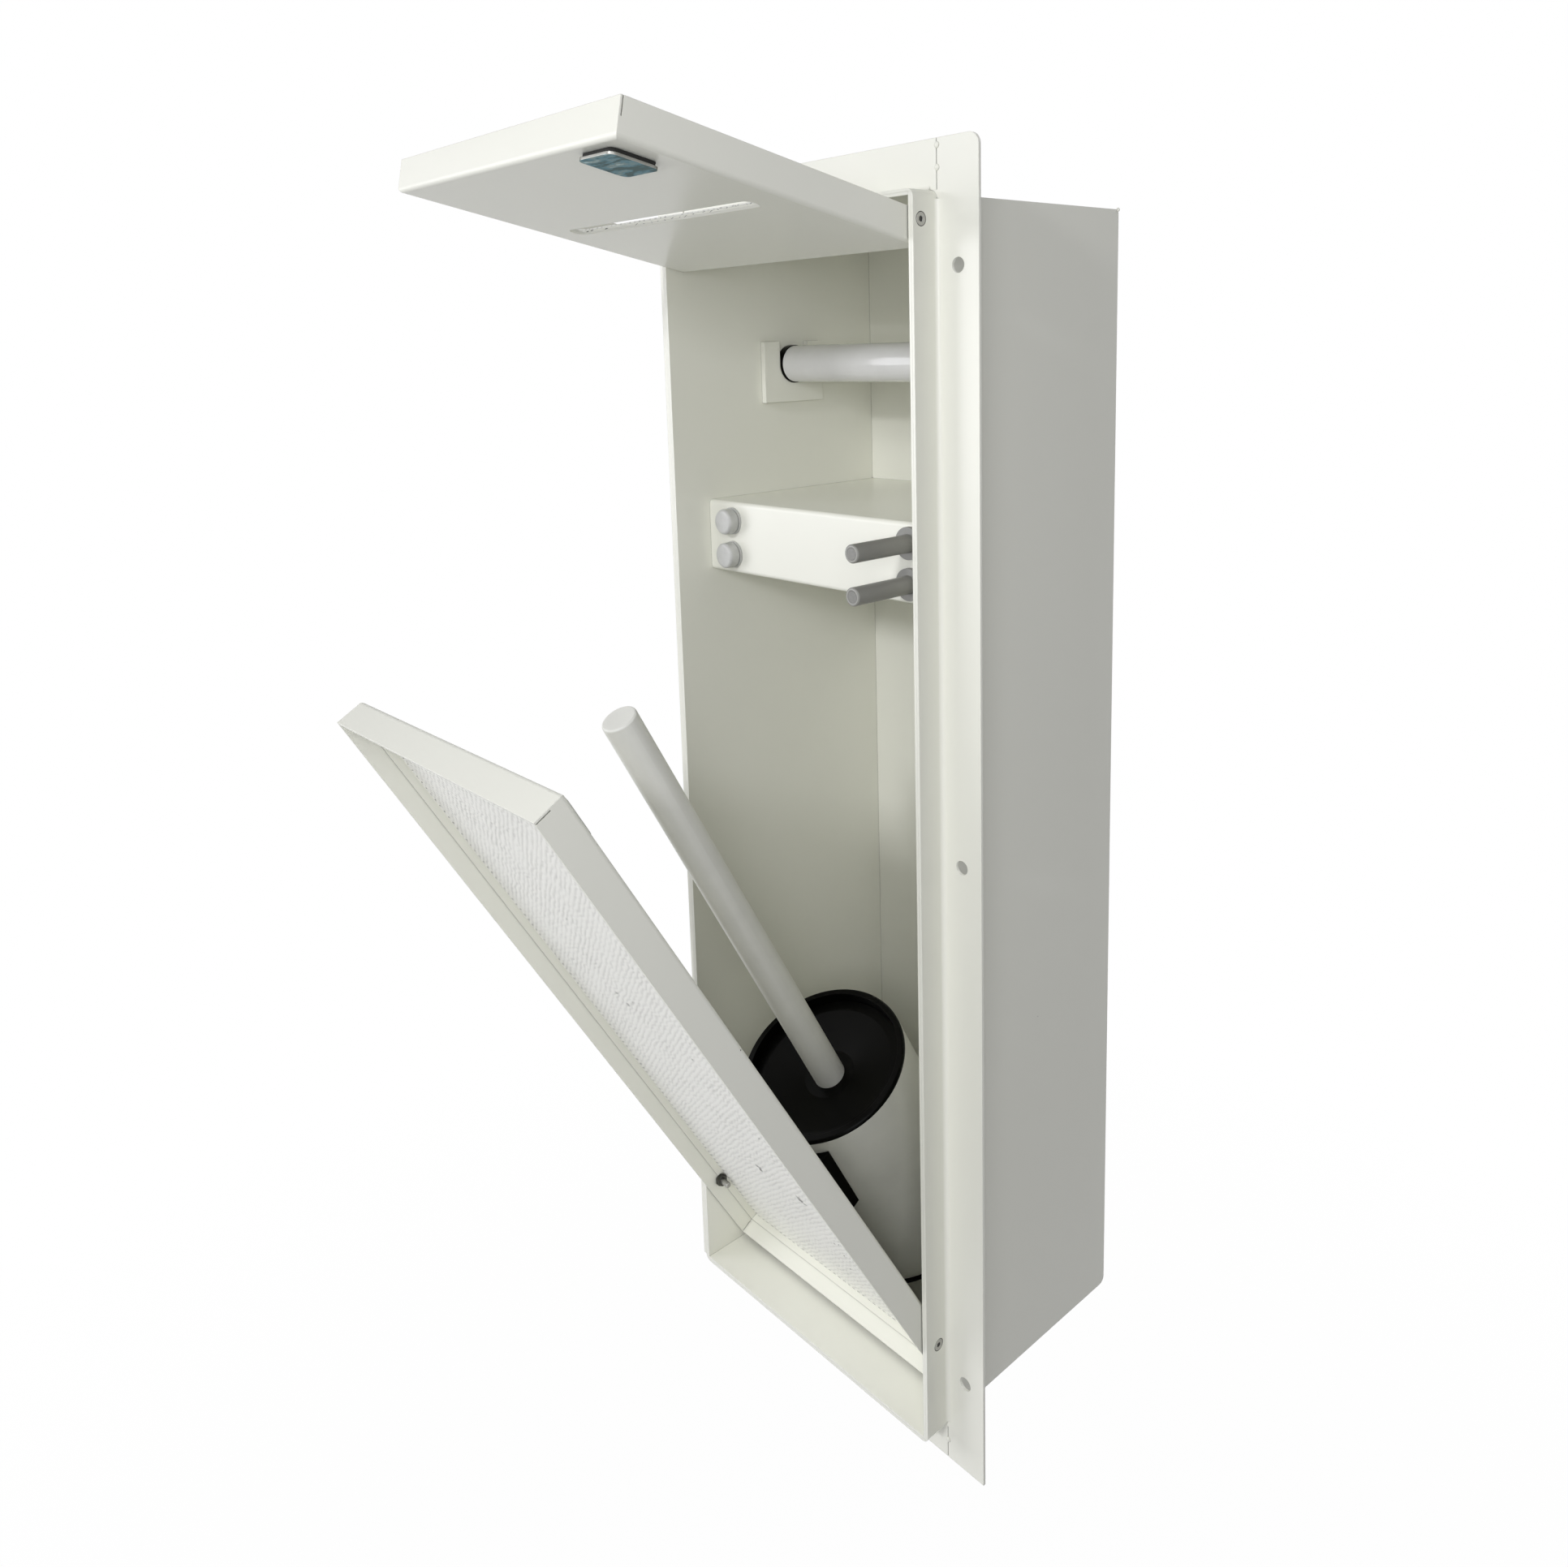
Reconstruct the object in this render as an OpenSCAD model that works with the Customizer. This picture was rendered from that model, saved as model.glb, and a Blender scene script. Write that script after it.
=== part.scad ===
// Recessed bathroom niche of folded sheet steel with a paper roll bay above and a brush bay below.
// The front is +X wide, +Y runs into the wall and +Z is up.
// The origin is the centre of the wall screw pattern, on the front face of the flange.

/* [Frame] */
// Outer width of the collar that stands in front of the flange
frame_w = 160; // [130:1:220]
// Outer height of the collar
frame_h = 546; // [520:1:640]
// How far the collar stands in front of the flange
collar_d = 13.8; // [13:0.2:20]
// Thickness of the cabinet's sheet steel
sheet_t = 1.25; // [1:0.05:1.6]
// Width of the flange at each side
side_flange = 20.5; // [16:0.5:30]
// Width of the flange above the collar
top_flange = 19.2; // [15:0.2:30]
// Width of the flange below the collar
bottom_flange = 15.6; // [12:0.2:30]
// Inside radius of the bend between collar and flange
flange_bend_r = 2; // [1:0.25:2.5]
// Ground radius on the collar's outer corners
collar_corner_r = 3.5; // [3:0.25:5]
// Radius on the upper corners of the flange
flange_corner_r = 5; // [2:0.5:8]
// Open slit left between two flange strips
seam_gap = 0.3; // [0.2:0.05:0.5]
// Diameter of the wall screw holes
screw_hole_d = 6; // [4:0.5:8]
// Distance of the end screw holes from the collar's ends
screw_end = 29; // [20:1:60]

/* [Box] */
// Depth of the box behind the front face of the flange
box_d = 125; // [118:1:160]
// Outer bend radius at the rear bottom edge
rear_bottom_r = 3.5; // [2:0.25:5]
// Outer bend radius at the rear top edge
rear_top_r = 2; // [1.8:0.1:5]

/* [Shelf] */
// Height of the hollow shelf between the two bays
shelf_h = 35; // [32:0.5:45]
// Distance of the shelf's middle below the collar's top
shelf_drop = 149.5; // [144:0.5:154]
// Distance of the shelf's face behind the front face of the flange
shelf_face_y = 7; // [6.5:0.1:9]
// Outer bend radius of the shelf's long edges
shelf_bend_r = 2; // [1.6:0.1:3]

/* [Doors] */
// Depth of a door, from the rim's front edge to its back face
door_d = 13.2; // [12:0.1:14]
// Thickness of the door's sheet steel
door_t = 1; // [0.8:0.05:1.2]
// Outer bend radius along the back edges of a door
door_bend_r = 1.8; // [1.5:0.1:2.5]
// Distance of the doors' front edge behind the collar's front edge
door_recess = 0.5; // [0:0.1:0.8]
// Gap between a door and the box at each side
door_side_gap = 0.6; // [0.5:0.1:1]
// Gap above the upper door
door_top_gap = 1.6; // [1.4:0.1:2.5]
// Gap below the lower door
door_bottom_gap = 1; // [1:0.1:2]
// Gap between the two doors
door_split_gap = 2; // [1.8:0.1:3]
// Width of the open slit at the front of a rim corner
rim_slit_w = 0.4; // [0.3:0.05:0.6]
// Depth of the open slit at the front of a rim corner
rim_slit_d = 6.5; // [4:0.5:8]
// Angle at which the upper door stands open
upper_open = 101.65; // [80:0.05:115]
// Angle at which the lower door stands open
lower_open = 30.4; // [20:0.1:32]

/* [Hinge pins] */
// Distance of the upper hinge pins below the collar's top
upper_pin_drop = 11.3; // [11:0.1:14]
// Distance of the upper hinge pins behind the collar's front edge
upper_pin_set = 4.6; // [4.4:0.1:6]
// Distance of the lower hinge pins above the collar's bottom
lower_pin_rise = 45.9; // [40:0.1:60]
// Distance of the lower hinge pins behind the collar's front edge
lower_pin_set = 8.1; // [7:0.1:8.4]
// Diameter of a hinge screw
pin_d = 3; // [2.5:0.1:3.4]
// Diameter of a hinge screw's countersunk head
pin_head_d = 5.8; // [5.4:0.1:6.4]
// Depth of a hinge screw's countersunk head
pin_head_h = 1.4; // [1.2:0.05:1.6]
// Hexagon socket of a hinge screw, across flats
pin_socket_w = 2; // [1.5:0.1:2.2]
// Thickness of a hinge nut
nut_h = 2.4; // [1.8:0.1:3]
// Width of a hinge nut across its flats
nut_w = 5.5; // [5:0.1:6]

/* [Tile beds] */
// Thickness of the tray that is set in a door
tray_t = 0.8; // [0.6:0.05:1]
// Height of that tray's short rim
tray_rim = 4.5; // [3.5:0.1:5]
// Gap between the tray's rim and the door's rim
tray_gap = 0.3; // [0.2:0.05:0.5]
// Thickness of the mesh board in the tray
board_t = 0.6; // [0.5:0.05:1]
// Bare edge of the tray round the mesh board
board_edge = 1.8; // [1:0.1:4]
// Length of the paper slot in the upper door
slot_l = 120; // [90:1:125]
// Height of the paper slot
slot_h = 8; // [6:0.5:14]

/* [Latches] */
// Distance of the latches from the side plate
latch_side = 19.8; // [15:0.1:26]
// Distance of each latch above or below the shelf's middle
latch_off = 8.8; // [7.6:0.1:9]
// Diameter of a latch pin
latch_pin_d = 7.8; // [6.2:0.1:8.4]
// Length of a latch pin
latch_pin_l = 50; // [46:1:60]
// How far a latch pin stands in front of the flange's front face when its door is open
latch_reach = 28.3; // [20:0.1:30]
// Outer diameter of a latch barrel
barrel_d = 11.2; // [10:0.2:13]
// Diameter of a latch barrel's front ring
ring_d = 14; // [12:0.2:16]
// Thickness of a latch barrel's front ring
ring_h = 2.2; // [1:0.1:2.6]
// Thickness of a latch barrel's closed end
barrel_end_t = 1.5; // [1:0.25:3]
// Diameter of the magnet in a latch pin's tip
magnet_d = 5; // [3:0.1:5.4]
// Thickness of that magnet
magnet_h = 2; // [1:0.25:3]
// Side of the square strike plate
strike_w = 20; // [14:0.5:24]
// Thickness of the strike plate
strike_t = 1; // [0.8:0.1:1.2]
// Corner radius of the strike plate
strike_r = 3; // [1:0.5:5]
// Thickness of the pad under the strike plate
strike_pad_t = 1.5; // [1:0.1:1.6]
// How far the pad stops short of the strike plate's edge
strike_pad_in = 0.8; // [0.5:0.1:2]
// Distance of the upper strike plate's middle from the free edge of its door
strike_edge = 14.5; // [12:0.5:20]
// The same distance on the lower door, whose plate hides behind the rim
lower_strike_edge = 17; // [12:0.5:20]
// Distance of the door buffers from the side plate
buffer_side = 17.7; // [13:0.1:26]
// Distance of each buffer above or below the shelf's middle
buffer_off = 8.3; // [7.5:0.1:9]
// Diameter of a door buffer
buffer_d = 12.4; // [9:0.2:14]
// Height of a door buffer
buffer_h = 6.8; // [4:0.1:6.8]

/* [Roll holder] */
// Distance of the roll rod behind the front face of the flange
rod_y = 64; // [55:1:75]
// Height of the roll rod above the top of the shelf
rod_rise = 65.3; // [60:0.1:90]
// Outer diameter of the roll rod
rod_d = 18.6; // [14:0.2:20]
// Wall thickness of the roll rod
rod_wall = 1.3; // [1:0.1:2]
// Diameter of the black end caps
cap_d = 19.2; // [18.8:0.1:22]
// Visible length of an end cap
cap_l = 3.9; // [2.6:0.1:5]
// Length of an end cap's plug inside the rod
plug_l = 9; // [5:0.5:20]
// Width of a rod bracket, from front to back
bracket_w = 40; // [34:0.5:50]
// Height of a rod bracket
bracket_h = 30.8; // [26:0.2:40]
// Thickness of a rod bracket
bracket_t = 3; // [2:0.1:3.2]
// How far the bracket's prongs reach above the rod's axis
prong_up = 11.5; // [6:0.1:13]

/* [Brush set] */
// Outer diameter of the brush container
cup_d = 84; // [74:0.5:90]
// Wall thickness of the container's sleeve
cup_wall = 1.5; // [1:0.1:2]
// Length of the container's sleeve
cup_l = 115; // [95:1:116]
// Height of the container's rim above the collar's bottom when the door is shut
cup_rim_z = 128; // [126:0.5:150]
// Gap between the door's back and the container at the rim
cup_standoff = 9; // [8:0.5:14]
// Angle by which the container leans back from the door
cup_lean = 2; // [1:0.5:3]
// Thickness of the black lip on the container's rim
lip_t = 2; // [1.5:0.1:3]
// Gap between the liner and the sleeve
liner_gap = 0.3; // [0.2:0.05:0.6]
// Wall thickness of the black liner
liner_wall = 1.5; // [1.2:0.1:2]
// Depth of the black liner
liner_d = 108; // [100:1:110]
// Depth of the ledge that carries the brush lid
ledge_z = 8; // [6:0.5:12]
// Width of that ledge
ledge_w = 2; // [1:0.25:2.5]
// Height of the black foot under the sleeve
foot_h = 5; // [3:0.25:5]
// Height of the foot's visible lip
foot_lip = 2; // [1:0.25:2.5]
// How far that lip stands out from the sleeve
foot_out = 1.2; // [0.4:0.1:1.8]
// Width of the cradle between door and container
cradle_w = 57; // [44:1:64]
// Height of that cradle
cradle_h = 39.5; // [30:0.5:44]
// Distance of the cradle's top below the container's rim
cradle_drop = 7; // [4:0.5:12]
// Width of the container's hanger rail over its head
rail_w = 18; // [12:0.5:19]
// Thickness of that rail's head
rail_t = 1.8; // [1.2:0.1:2.2]
// Width of the rail's neck
rail_neck = 10; // [6:0.5:10]
// Distance of a cradle rivet from the middle
rivet_x = 15; // [13:0.5:22]
// Diameter of a cradle rivet
rivet_d = 4; // [3:0.25:5]
// Diameter of a cradle rivet's flat head
rivet_head_d = 8; // [6:0.5:9]
// Length of a rivet inside the cradle
rivet_grip = 5; // [3:0.5:6]
// Diameter of the brush handle
handle_d = 15.6; // [12:0.2:20]
// Length of the brush handle above the container's rim
handle_l = 224; // [180:1:230]
// Edge radius at the top of the handle
handle_r = 1; // [0.5:0.25:2]
// Depth of the handle's lower end below the rim
handle_in = 10; // [9:0.5:14]
// Thickness of the brush lid
lid_t = 2; // [1.5:0.25:3]
// Width of the lid's flat rim
lid_rim = 5; // [3:0.5:8]
// Diameter of the core that holds the bristles
core_d = 13; // [11:0.5:15]
// Diameter over the bristles
bristle_d = 68; // [50:1:70]
// Length of the brush over its bristles
bristle_l = 70; // [60:1:74]
// Edge radius of the bristle head
bristle_r = 9; // [4:1:14]

/* [Hidden] */

$fn = 96;
// Cuts run this far past the faces that they open
over = 1;
// Clearance between pieces that are fixed to each other
seat = 0.1;
// Radial clearance of a shaft that turns or slides in a bore
running = 0.05;
// Clearance between pieces that move past each other
pass = 0.3;

box_w = frame_w - 2 * sheet_t;
inner_w = box_w - 2 * sheet_t;
box_z0 = sheet_t;
box_h = frame_h - 2 * sheet_t;
inner_z0 = 2 * sheet_t;
inner_z1 = frame_h - 2 * sheet_t;
shelf_mid = frame_h - shelf_drop;
hole_x = frame_w / 2 + side_flange / 2;
latch_x = inner_w / 2 - latch_side;
buffer_x = inner_w / 2 - buffer_side;
collar_front = -collar_d;

door_w = inner_w - 2 * door_side_gap;
door_front = collar_front + door_recess;
door_back = door_front + door_d;
lower_z0 = inner_z0 + door_bottom_gap;
lower_z1 = shelf_mid - (door_split_gap + 2) / 2 + 1;
upper_z0 = lower_z1 + door_split_gap;
upper_z1 = inner_z1 - door_top_gap;
upper_pin_y = collar_front + upper_pin_set;
upper_pin_z = frame_h - upper_pin_drop;
lower_pin_y = collar_front + lower_pin_set;
lower_pin_z = lower_pin_rise;
slot_z = (upper_z0 + upper_z1) / 2;

tray_w = door_w - 2 * door_t - 2 * tray_gap;
tray_front = door_back - door_t - tray_rim;
board_back = door_back - door_t - tray_t;
nut_face_x = door_w / 2 - door_t - pass;
nut_clear_r = nut_w / sqrt(3) + 2 * pass;

strike_face_y = door_back + strike_pad_t + strike_t;
latch_travel = latch_reach + strike_face_y + seat;
barrel_l = latch_pin_l - latch_reach + latch_travel - shelf_face_y + 2 * pass + barrel_end_t;

rod_z = shelf_mid + shelf_h / 2 + rod_rise;
slot_r = cap_d / 2 + seat;
rod_bore_r = rod_d / 2 - rod_wall;
tube_l = inner_w - 2 * (pass + cap_l) - 2 * pass;

cup_r = cup_d / 2;
cup_y = door_back + cup_standoff + cup_r;
liner_r = cup_r - cup_wall - liner_gap;
liner_in_r = liner_r - liner_wall;
ledge_in_r = liner_in_r - ledge_w;
lid_r = liner_in_r - pass;
rivet_z = cup_rim_z - cradle_drop - cradle_h / 2;
rail_y = -cup_r - 3.2;
rail_z0 = -cradle_drop - cradle_h + 3.5;
rail_z1 = -cradle_drop - 1;
core_top = handle_in + lid_t;
bristle_top = core_top + 12;
core_l = bristle_l + bristle_top - core_top;

steel_white = [0.93, 0.93, 0.91];
board_white = [0.9, 0.9, 0.89];
latch_grey = [0.45, 0.45, 0.43];
dark_grey = [0.33, 0.33, 0.32];
cap_black = [0.05, 0.05, 0.05];
zinc_blue = [0.48, 0.58, 0.66];
bare_steel = [0.7, 0.7, 0.7];
buffer_grey = [0.72, 0.72, 0.72];

// Moves a piece whose heights are counted from the collar's bottom into the part's frame
module from_sill() {
    translate([0, 0, -frame_h / 2])
        children();
}

// Turns the upper door's pieces from shut to the angle at which it stands open
module upper_swing() {
    from_sill()
        translate([0, upper_pin_y, upper_pin_z])
            rotate([-upper_open, 0, 0])
                translate([0, -upper_pin_y, -upper_pin_z])
                    children();
}

// Turns the lower door's pieces from shut to the angle at which it stands open
module lower_swing() {
    from_sill()
        translate([0, lower_pin_y, lower_pin_z])
            rotate([lower_open, 0, 0])
                translate([0, -lower_pin_y, -lower_pin_z])
                    children();
}

// Places the brush set, whose own axis is +Z and whose rim is at zero, behind the lower door
module cup_place() {
    lower_swing()
        translate([0, cup_y, cup_rim_z])
            rotate([-cup_lean, 0, 0])
                children();
}

// A cylinder along X between two distances from the middle
module along_x(r, x0, x1) {
    translate([x0, 0, 0])
        rotate([0, 90, 0])
            cylinder(r = r, h = x1 - x0);
}

// A cylinder along Y between two depths
module along_y(r, y0, y1) {
    translate([0, y0, 0])
        rotate([-90, 0, 0])
            cylinder(r = r, h = y1 - y0);
}

// A flat outline drawn in Y and Z, given a thickness along X
module plate_yz(x0, x1) {
    translate([x0, 0, 0])
        rotate([90, 0, 90])
            linear_extrude(height = x1 - x0)
                children();
}

// A flat outline drawn in X and Z, given a thickness along Y
module plate_xz(y0, y1) {
    translate([0, y1, 0])
        rotate([90, 0, 0])
            linear_extrude(height = y1 - y0)
                children();
}

// What a round corner takes off the corner of a square
module corner_waste(r) {
    difference() {
        translate([-over, -over])
            square(r + over);
        translate([r, r])
            circle(r);
        translate([r, -over])
            square([over, 2 * over + r]);
        translate([-over, r])
            square([2 * over + r, over]);
    }
}

// A rectangle from the origin with a radius of its own at each corner
module round_rect(w, h, low_left, low_right, high_right, high_left) {
    difference() {
        square([w, h]);
        if (low_left > 0)
            corner_waste(low_left);
        if (low_right > 0)
            translate([w, 0])
                mirror([1, 0])
                    corner_waste(low_right);
        if (high_right > 0)
            translate([w, h])
                mirror([1, 0])
                    mirror([0, 1])
                        corner_waste(high_right);
        if (high_left > 0)
            translate([0, h])
                mirror([0, 1])
                    corner_waste(high_left);
    }
}

// Cross-section of a flange strip: the collar's wall, the bend and the flange, bent at the origin
module strip_section(flange_w) {
    translate([-sheet_t, collar_front])
        square([sheet_t, collar_d - flange_bend_r]);
    translate([flange_bend_r, 0])
        square([flange_w - flange_bend_r, sheet_t]);
    intersection() {
        translate([flange_bend_r, -flange_bend_r])
            difference() {
                circle(flange_bend_r + sheet_t);
                circle(flange_bend_r);
            }
        translate([-sheet_t, -flange_bend_r])
            square(flange_bend_r + sheet_t);
    }
}

// Front view of the collar: ground round outside, square inside
module collar_outline() {
    difference() {
        translate([-frame_w / 2, 0])
            round_rect(frame_w, frame_h, collar_corner_r, collar_corner_r, collar_corner_r,
                collar_corner_r);
        translate([-box_w / 2, box_z0])
            square([box_w, box_h]);
    }
}

// Holes for the two hinge screws of one side, drawn along X
module hinge_holes(r) {
    for (p = [[upper_pin_y, upper_pin_z], [lower_pin_y, lower_pin_z]])
        translate([0, p[0], p[1]])
            along_x(r, frame_w / 2 - 2 * sheet_t - over, frame_w / 2 + over);
}

// Flange strip of the right side, with the collar's wall and its two round corners
module side_strip() {
    color(steel_white)
        from_sill()
            difference() {
                union() {
                    translate([frame_w / 2, 0, collar_corner_r])
                        linear_extrude(height = frame_h - 2 * collar_corner_r)
                            strip_section(side_flange);
                    plate_xz(collar_front, sheet_t)
                        intersection() {
                            collar_outline();
                            translate([frame_w / 2 - collar_corner_r, 0])
                                square([collar_corner_r, collar_corner_r]);
                        }
                    plate_xz(collar_front, sheet_t)
                        intersection() {
                            collar_outline();
                            translate([frame_w / 2 - collar_corner_r, frame_h - collar_corner_r])
                                square([collar_corner_r, collar_corner_r]);
                        }
                    plate_xz(0, sheet_t)
                        difference() {
                            translate([frame_w / 2 - collar_corner_r, 0])
                                square([collar_corner_r, frame_h]);
                            translate([frame_w / 2 - collar_corner_r - over, collar_corner_r])
                                square([collar_corner_r + over, frame_h - 2 * collar_corner_r]);
                            translate([-box_w / 2, box_z0])
                                square([box_w, box_h]);
                        }
                    plate_xz(0, sheet_t)
                        difference() {
                            translate([frame_w / 2, -bottom_flange])
                                round_rect(side_flange, frame_h + bottom_flange + top_flange, 0, 0,
                                    flange_corner_r, 0);
                            translate([frame_w / 2 - over, collar_corner_r])
                                square([flange_bend_r + over, frame_h - 2 * collar_corner_r]);
                        }
                }
                for (z = [screw_end, frame_h / 2, frame_h - screw_end])
                    translate([hole_x, 0, z])
                        along_y(screw_hole_d / 2, -over, sheet_t + over);
                hinge_holes(pin_d / 2 + seat);
                for (p = [[upper_pin_y, upper_pin_z], [lower_pin_y, lower_pin_z]])
                    translate([frame_w / 2, p[0], p[1]])
                        head_cone(seat);
            }
}

// The countersunk head's cone, with its wide end at the origin and its length towards -X
module head_cone(clear) {
    rotate([0, -90, 0])
        cylinder(r1 = pin_head_d / 2 + clear, r2 = pin_d / 2 + clear, h = pin_head_h);
}

module flange_strip_right() {
    side_strip();
}

module flange_strip_left() {
    mirror([1, 0, 0])
        side_strip();
}

// A flange strip that runs between the side strips, drawn for the bottom edge at height zero
module cross_strip(flange_w) {
    run = frame_w - 2 * collar_corner_r;
    translate([-run / 2, 0, 0])
        rotate([0, 90, 0])
            linear_extrude(height = run)
                strip_section(flange_w);
    plate_xz(0, sheet_t)
        difference() {
            translate([-frame_w / 2 + seam_gap, -flange_w])
                square([frame_w - 2 * seam_gap, flange_w]);
            translate([-run / 2, -flange_bend_r])
                square([run, flange_bend_r + over]);
        }
}

module flange_strip_bottom() {
    color(steel_white)
        from_sill()
            cross_strip(bottom_flange);
}

module flange_strip_top() {
    color(steel_white)
        from_sill()
            translate([0, 0, frame_h])
                mirror([0, 0, 1])
                    cross_strip(top_flange);
}

// Side view of the box, with its rear corners bent round
module box_outline() {
    translate([collar_front, box_z0])
        round_rect(box_d + collar_d, box_h, 0, rear_bottom_r, rear_top_r, 0);
}

module rear_wrap() {
    color(steel_white)
        from_sill()
            plate_yz(-inner_w / 2, inner_w / 2)
                difference() {
                    box_outline();
                    translate([collar_front - over, inner_z0])
                        round_rect(box_d + collar_d - sheet_t + over, inner_z1 - inner_z0, 0,
                            rear_bottom_r - sheet_t, rear_top_r - sheet_t, 0);
                }
}

module side_plate_right() {
    color(steel_white)
        from_sill()
            difference() {
                plate_yz(inner_w / 2, box_w / 2)
                    box_outline();
                hinge_holes(pin_d / 2 + seat);
                for (p = [[upper_pin_y, upper_pin_z], [lower_pin_y, lower_pin_z]])
                    translate([frame_w / 2, p[0], p[1]])
                        head_cone(seat);
            }
}

module side_plate_left() {
    mirror([1, 0, 0])
        side_plate_right();
}

// Hollow shelf: top, face and underside are one folded sheet, open towards the rear
module shelf_box() {
    shelf_d = box_d - sheet_t - shelf_face_y;
    shelf_z0 = shelf_mid - shelf_h / 2;
    color(steel_white)
        from_sill()
            difference() {
                plate_yz(-inner_w / 2, inner_w / 2)
                    difference() {
                        translate([shelf_face_y, shelf_z0])
                            round_rect(shelf_d, shelf_h, shelf_bend_r, 0, 0, shelf_bend_r);
                        translate([shelf_face_y + sheet_t, shelf_z0 + sheet_t])
                            round_rect(shelf_d, shelf_h - 2 * sheet_t, shelf_bend_r - sheet_t, 0, 0,
                                shelf_bend_r - sheet_t);
                    }
                for (side = [-1, 1])
                    translate([latch_x, 0, shelf_mid + side * latch_off])
                        along_y(barrel_d / 2 + seat, shelf_face_y - over, shelf_face_y + sheet_t + over);
            }
}

// Push latch barrel: a closed sleeve behind the shelf's face with a ring in front of it
module latch_barrel(z) {
    bore_end = shelf_face_y + barrel_l - barrel_end_t;
    color(latch_grey)
        from_sill()
            translate([latch_x, 0, z])
                difference() {
                    union() {
                        along_y(barrel_d / 2, shelf_face_y, shelf_face_y + barrel_l);
                        along_y(ring_d / 2, shelf_face_y - ring_h, shelf_face_y);
                    }
                    along_y(latch_pin_d / 2 + running, shelf_face_y - ring_h - over, bore_end);
                }
}

module latch_barrel_upper() {
    latch_barrel(shelf_mid + latch_off);
}

module latch_barrel_lower() {
    latch_barrel(shelf_mid - latch_off);
}

// Latch pin: a round bar with a softened tip and a pocket for its magnet
module latch_pin(z) {
    tip_r = 0.6;
    color(dark_grey)
        from_sill()
            translate([latch_x, -latch_reach, z])
                rotate([-90, 0, 0])
                    difference() {
                        rotate_extrude()
                            round_rect(latch_pin_d / 2, latch_pin_l, 0, tip_r, tip_r, 0);
                        translate([0, 0, -over])
                            cylinder(d = magnet_d + 2 * running, h = magnet_h + over);
                    }
}

module latch_pin_upper() {
    latch_pin(shelf_mid + latch_off);
}

module latch_pin_lower() {
    latch_pin(shelf_mid - latch_off);
}

module latch_magnet(z) {
    color(bare_steel)
        from_sill()
            translate([latch_x, 0, z])
                along_y(magnet_d / 2, -latch_reach, -latch_reach + magnet_h);
}

module latch_magnet_upper() {
    latch_magnet(shelf_mid + latch_off);
}

module latch_magnet_lower() {
    latch_magnet(shelf_mid - latch_off);
}

// Two soft buffers on the shelf's face, each a foot, a neck and a rounded head
module door_buffers() {
    foot_share = 0.16;
    neck_share = 0.1;
    neck_in = 0.7;
    edge_r = 1.5;
    head_l = buffer_h * (1 - foot_share - neck_share);
    color(buffer_grey)
        from_sill()
            for (side = [-1, 1])
                translate([-buffer_x, shelf_face_y, shelf_mid + side * buffer_off])
                    rotate([90, 0, 0])
                        rotate_extrude() {
                            square([buffer_d / 2 + neck_in / 2, buffer_h * foot_share]);
                            square([buffer_d / 2 - neck_in, buffer_h * (1 - neck_share)]);
                            translate([0, buffer_h - head_l])
                                round_rect(buffer_d / 2, head_l, 0, 0, edge_r, 0);
                        }
}

// Plate on the side wall with a slot, open at the top, for the rod's end
module rod_bracket_right() {
    color(steel_white)
        from_sill()
            plate_yz(inner_w / 2 - bracket_t, inner_w / 2)
                difference() {
                    translate([rod_y - bracket_w / 2, rod_z + prong_up - bracket_h])
                        square([bracket_w, bracket_h]);
                    translate([rod_y, rod_z])
                        circle(slot_r);
                    translate([rod_y - slot_r, rod_z])
                        square([2 * slot_r, prong_up + over]);
                }
}

module rod_bracket_left() {
    mirror([1, 0, 0])
        rod_bracket_right();
}

// End cap: a disc that lies in the bracket's slot and a plug on which the rod turns
module rod_cap_right() {
    cap_x = inner_w / 2 - pass;
    color(cap_black)
        from_sill()
            translate([0, rod_y, rod_z]) {
                along_x(cap_d / 2, cap_x - cap_l, cap_x);
                along_x(rod_bore_r - running, cap_x - cap_l - plug_l, cap_x - cap_l);
            }
}

module rod_cap_left() {
    mirror([1, 0, 0])
        rod_cap_right();
}

module rod_tube() {
    color(steel_white)
        from_sill()
            translate([0, rod_y, rod_z])
                difference() {
                    along_x(rod_d / 2, -tube_l / 2, tube_l / 2);
                    along_x(rod_bore_r, -tube_l / 2 - over, tube_l / 2 + over);
                }
}

// The pair of countersunk hinge screws at one height
module screw_pair(y, z) {
    screw_end_x = nut_face_x - nut_h;
    color(bare_steel)
        from_sill()
            for (side = [0, 1])
                mirror([side, 0, 0])
                    translate([0, y, z])
                        difference() {
                            union() {
                                along_x(pin_d / 2, screw_end_x, frame_w / 2 - pin_head_h);
                                translate([frame_w / 2, 0, 0])
                                    head_cone(0);
                            }
                            translate([frame_w / 2 - pin_head_h, 0, 0])
                                rotate([0, 90, 0])
                                    cylinder(r = pin_socket_w / sqrt(3), h = pin_head_h + over, $fn = 6);
                        }
}

module hinge_screws_upper() {
    screw_pair(upper_pin_y, upper_pin_z);
}

module hinge_screws_lower() {
    screw_pair(lower_pin_y, lower_pin_z);
}

// The pair of nuts inside a door's rims at one height
module nut_pair(y, z) {
    color(dark_grey)
        from_sill()
            for (side = [0, 1])
                mirror([side, 0, 0])
                    translate([nut_face_x - nut_h, y, z])
                        rotate([0, 90, 0])
                            difference() {
                                cylinder(r = nut_w / sqrt(3), h = nut_h, $fn = 6);
                                translate([0, 0, -over])
                                    cylinder(r = pin_d / 2 + running, h = nut_h + 2 * over);
                            }
}

module hinge_nuts_upper() {
    nut_pair(upper_pin_y, upper_pin_z);
}

module hinge_nuts_lower() {
    nut_pair(lower_pin_y, lower_pin_z);
}

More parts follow.
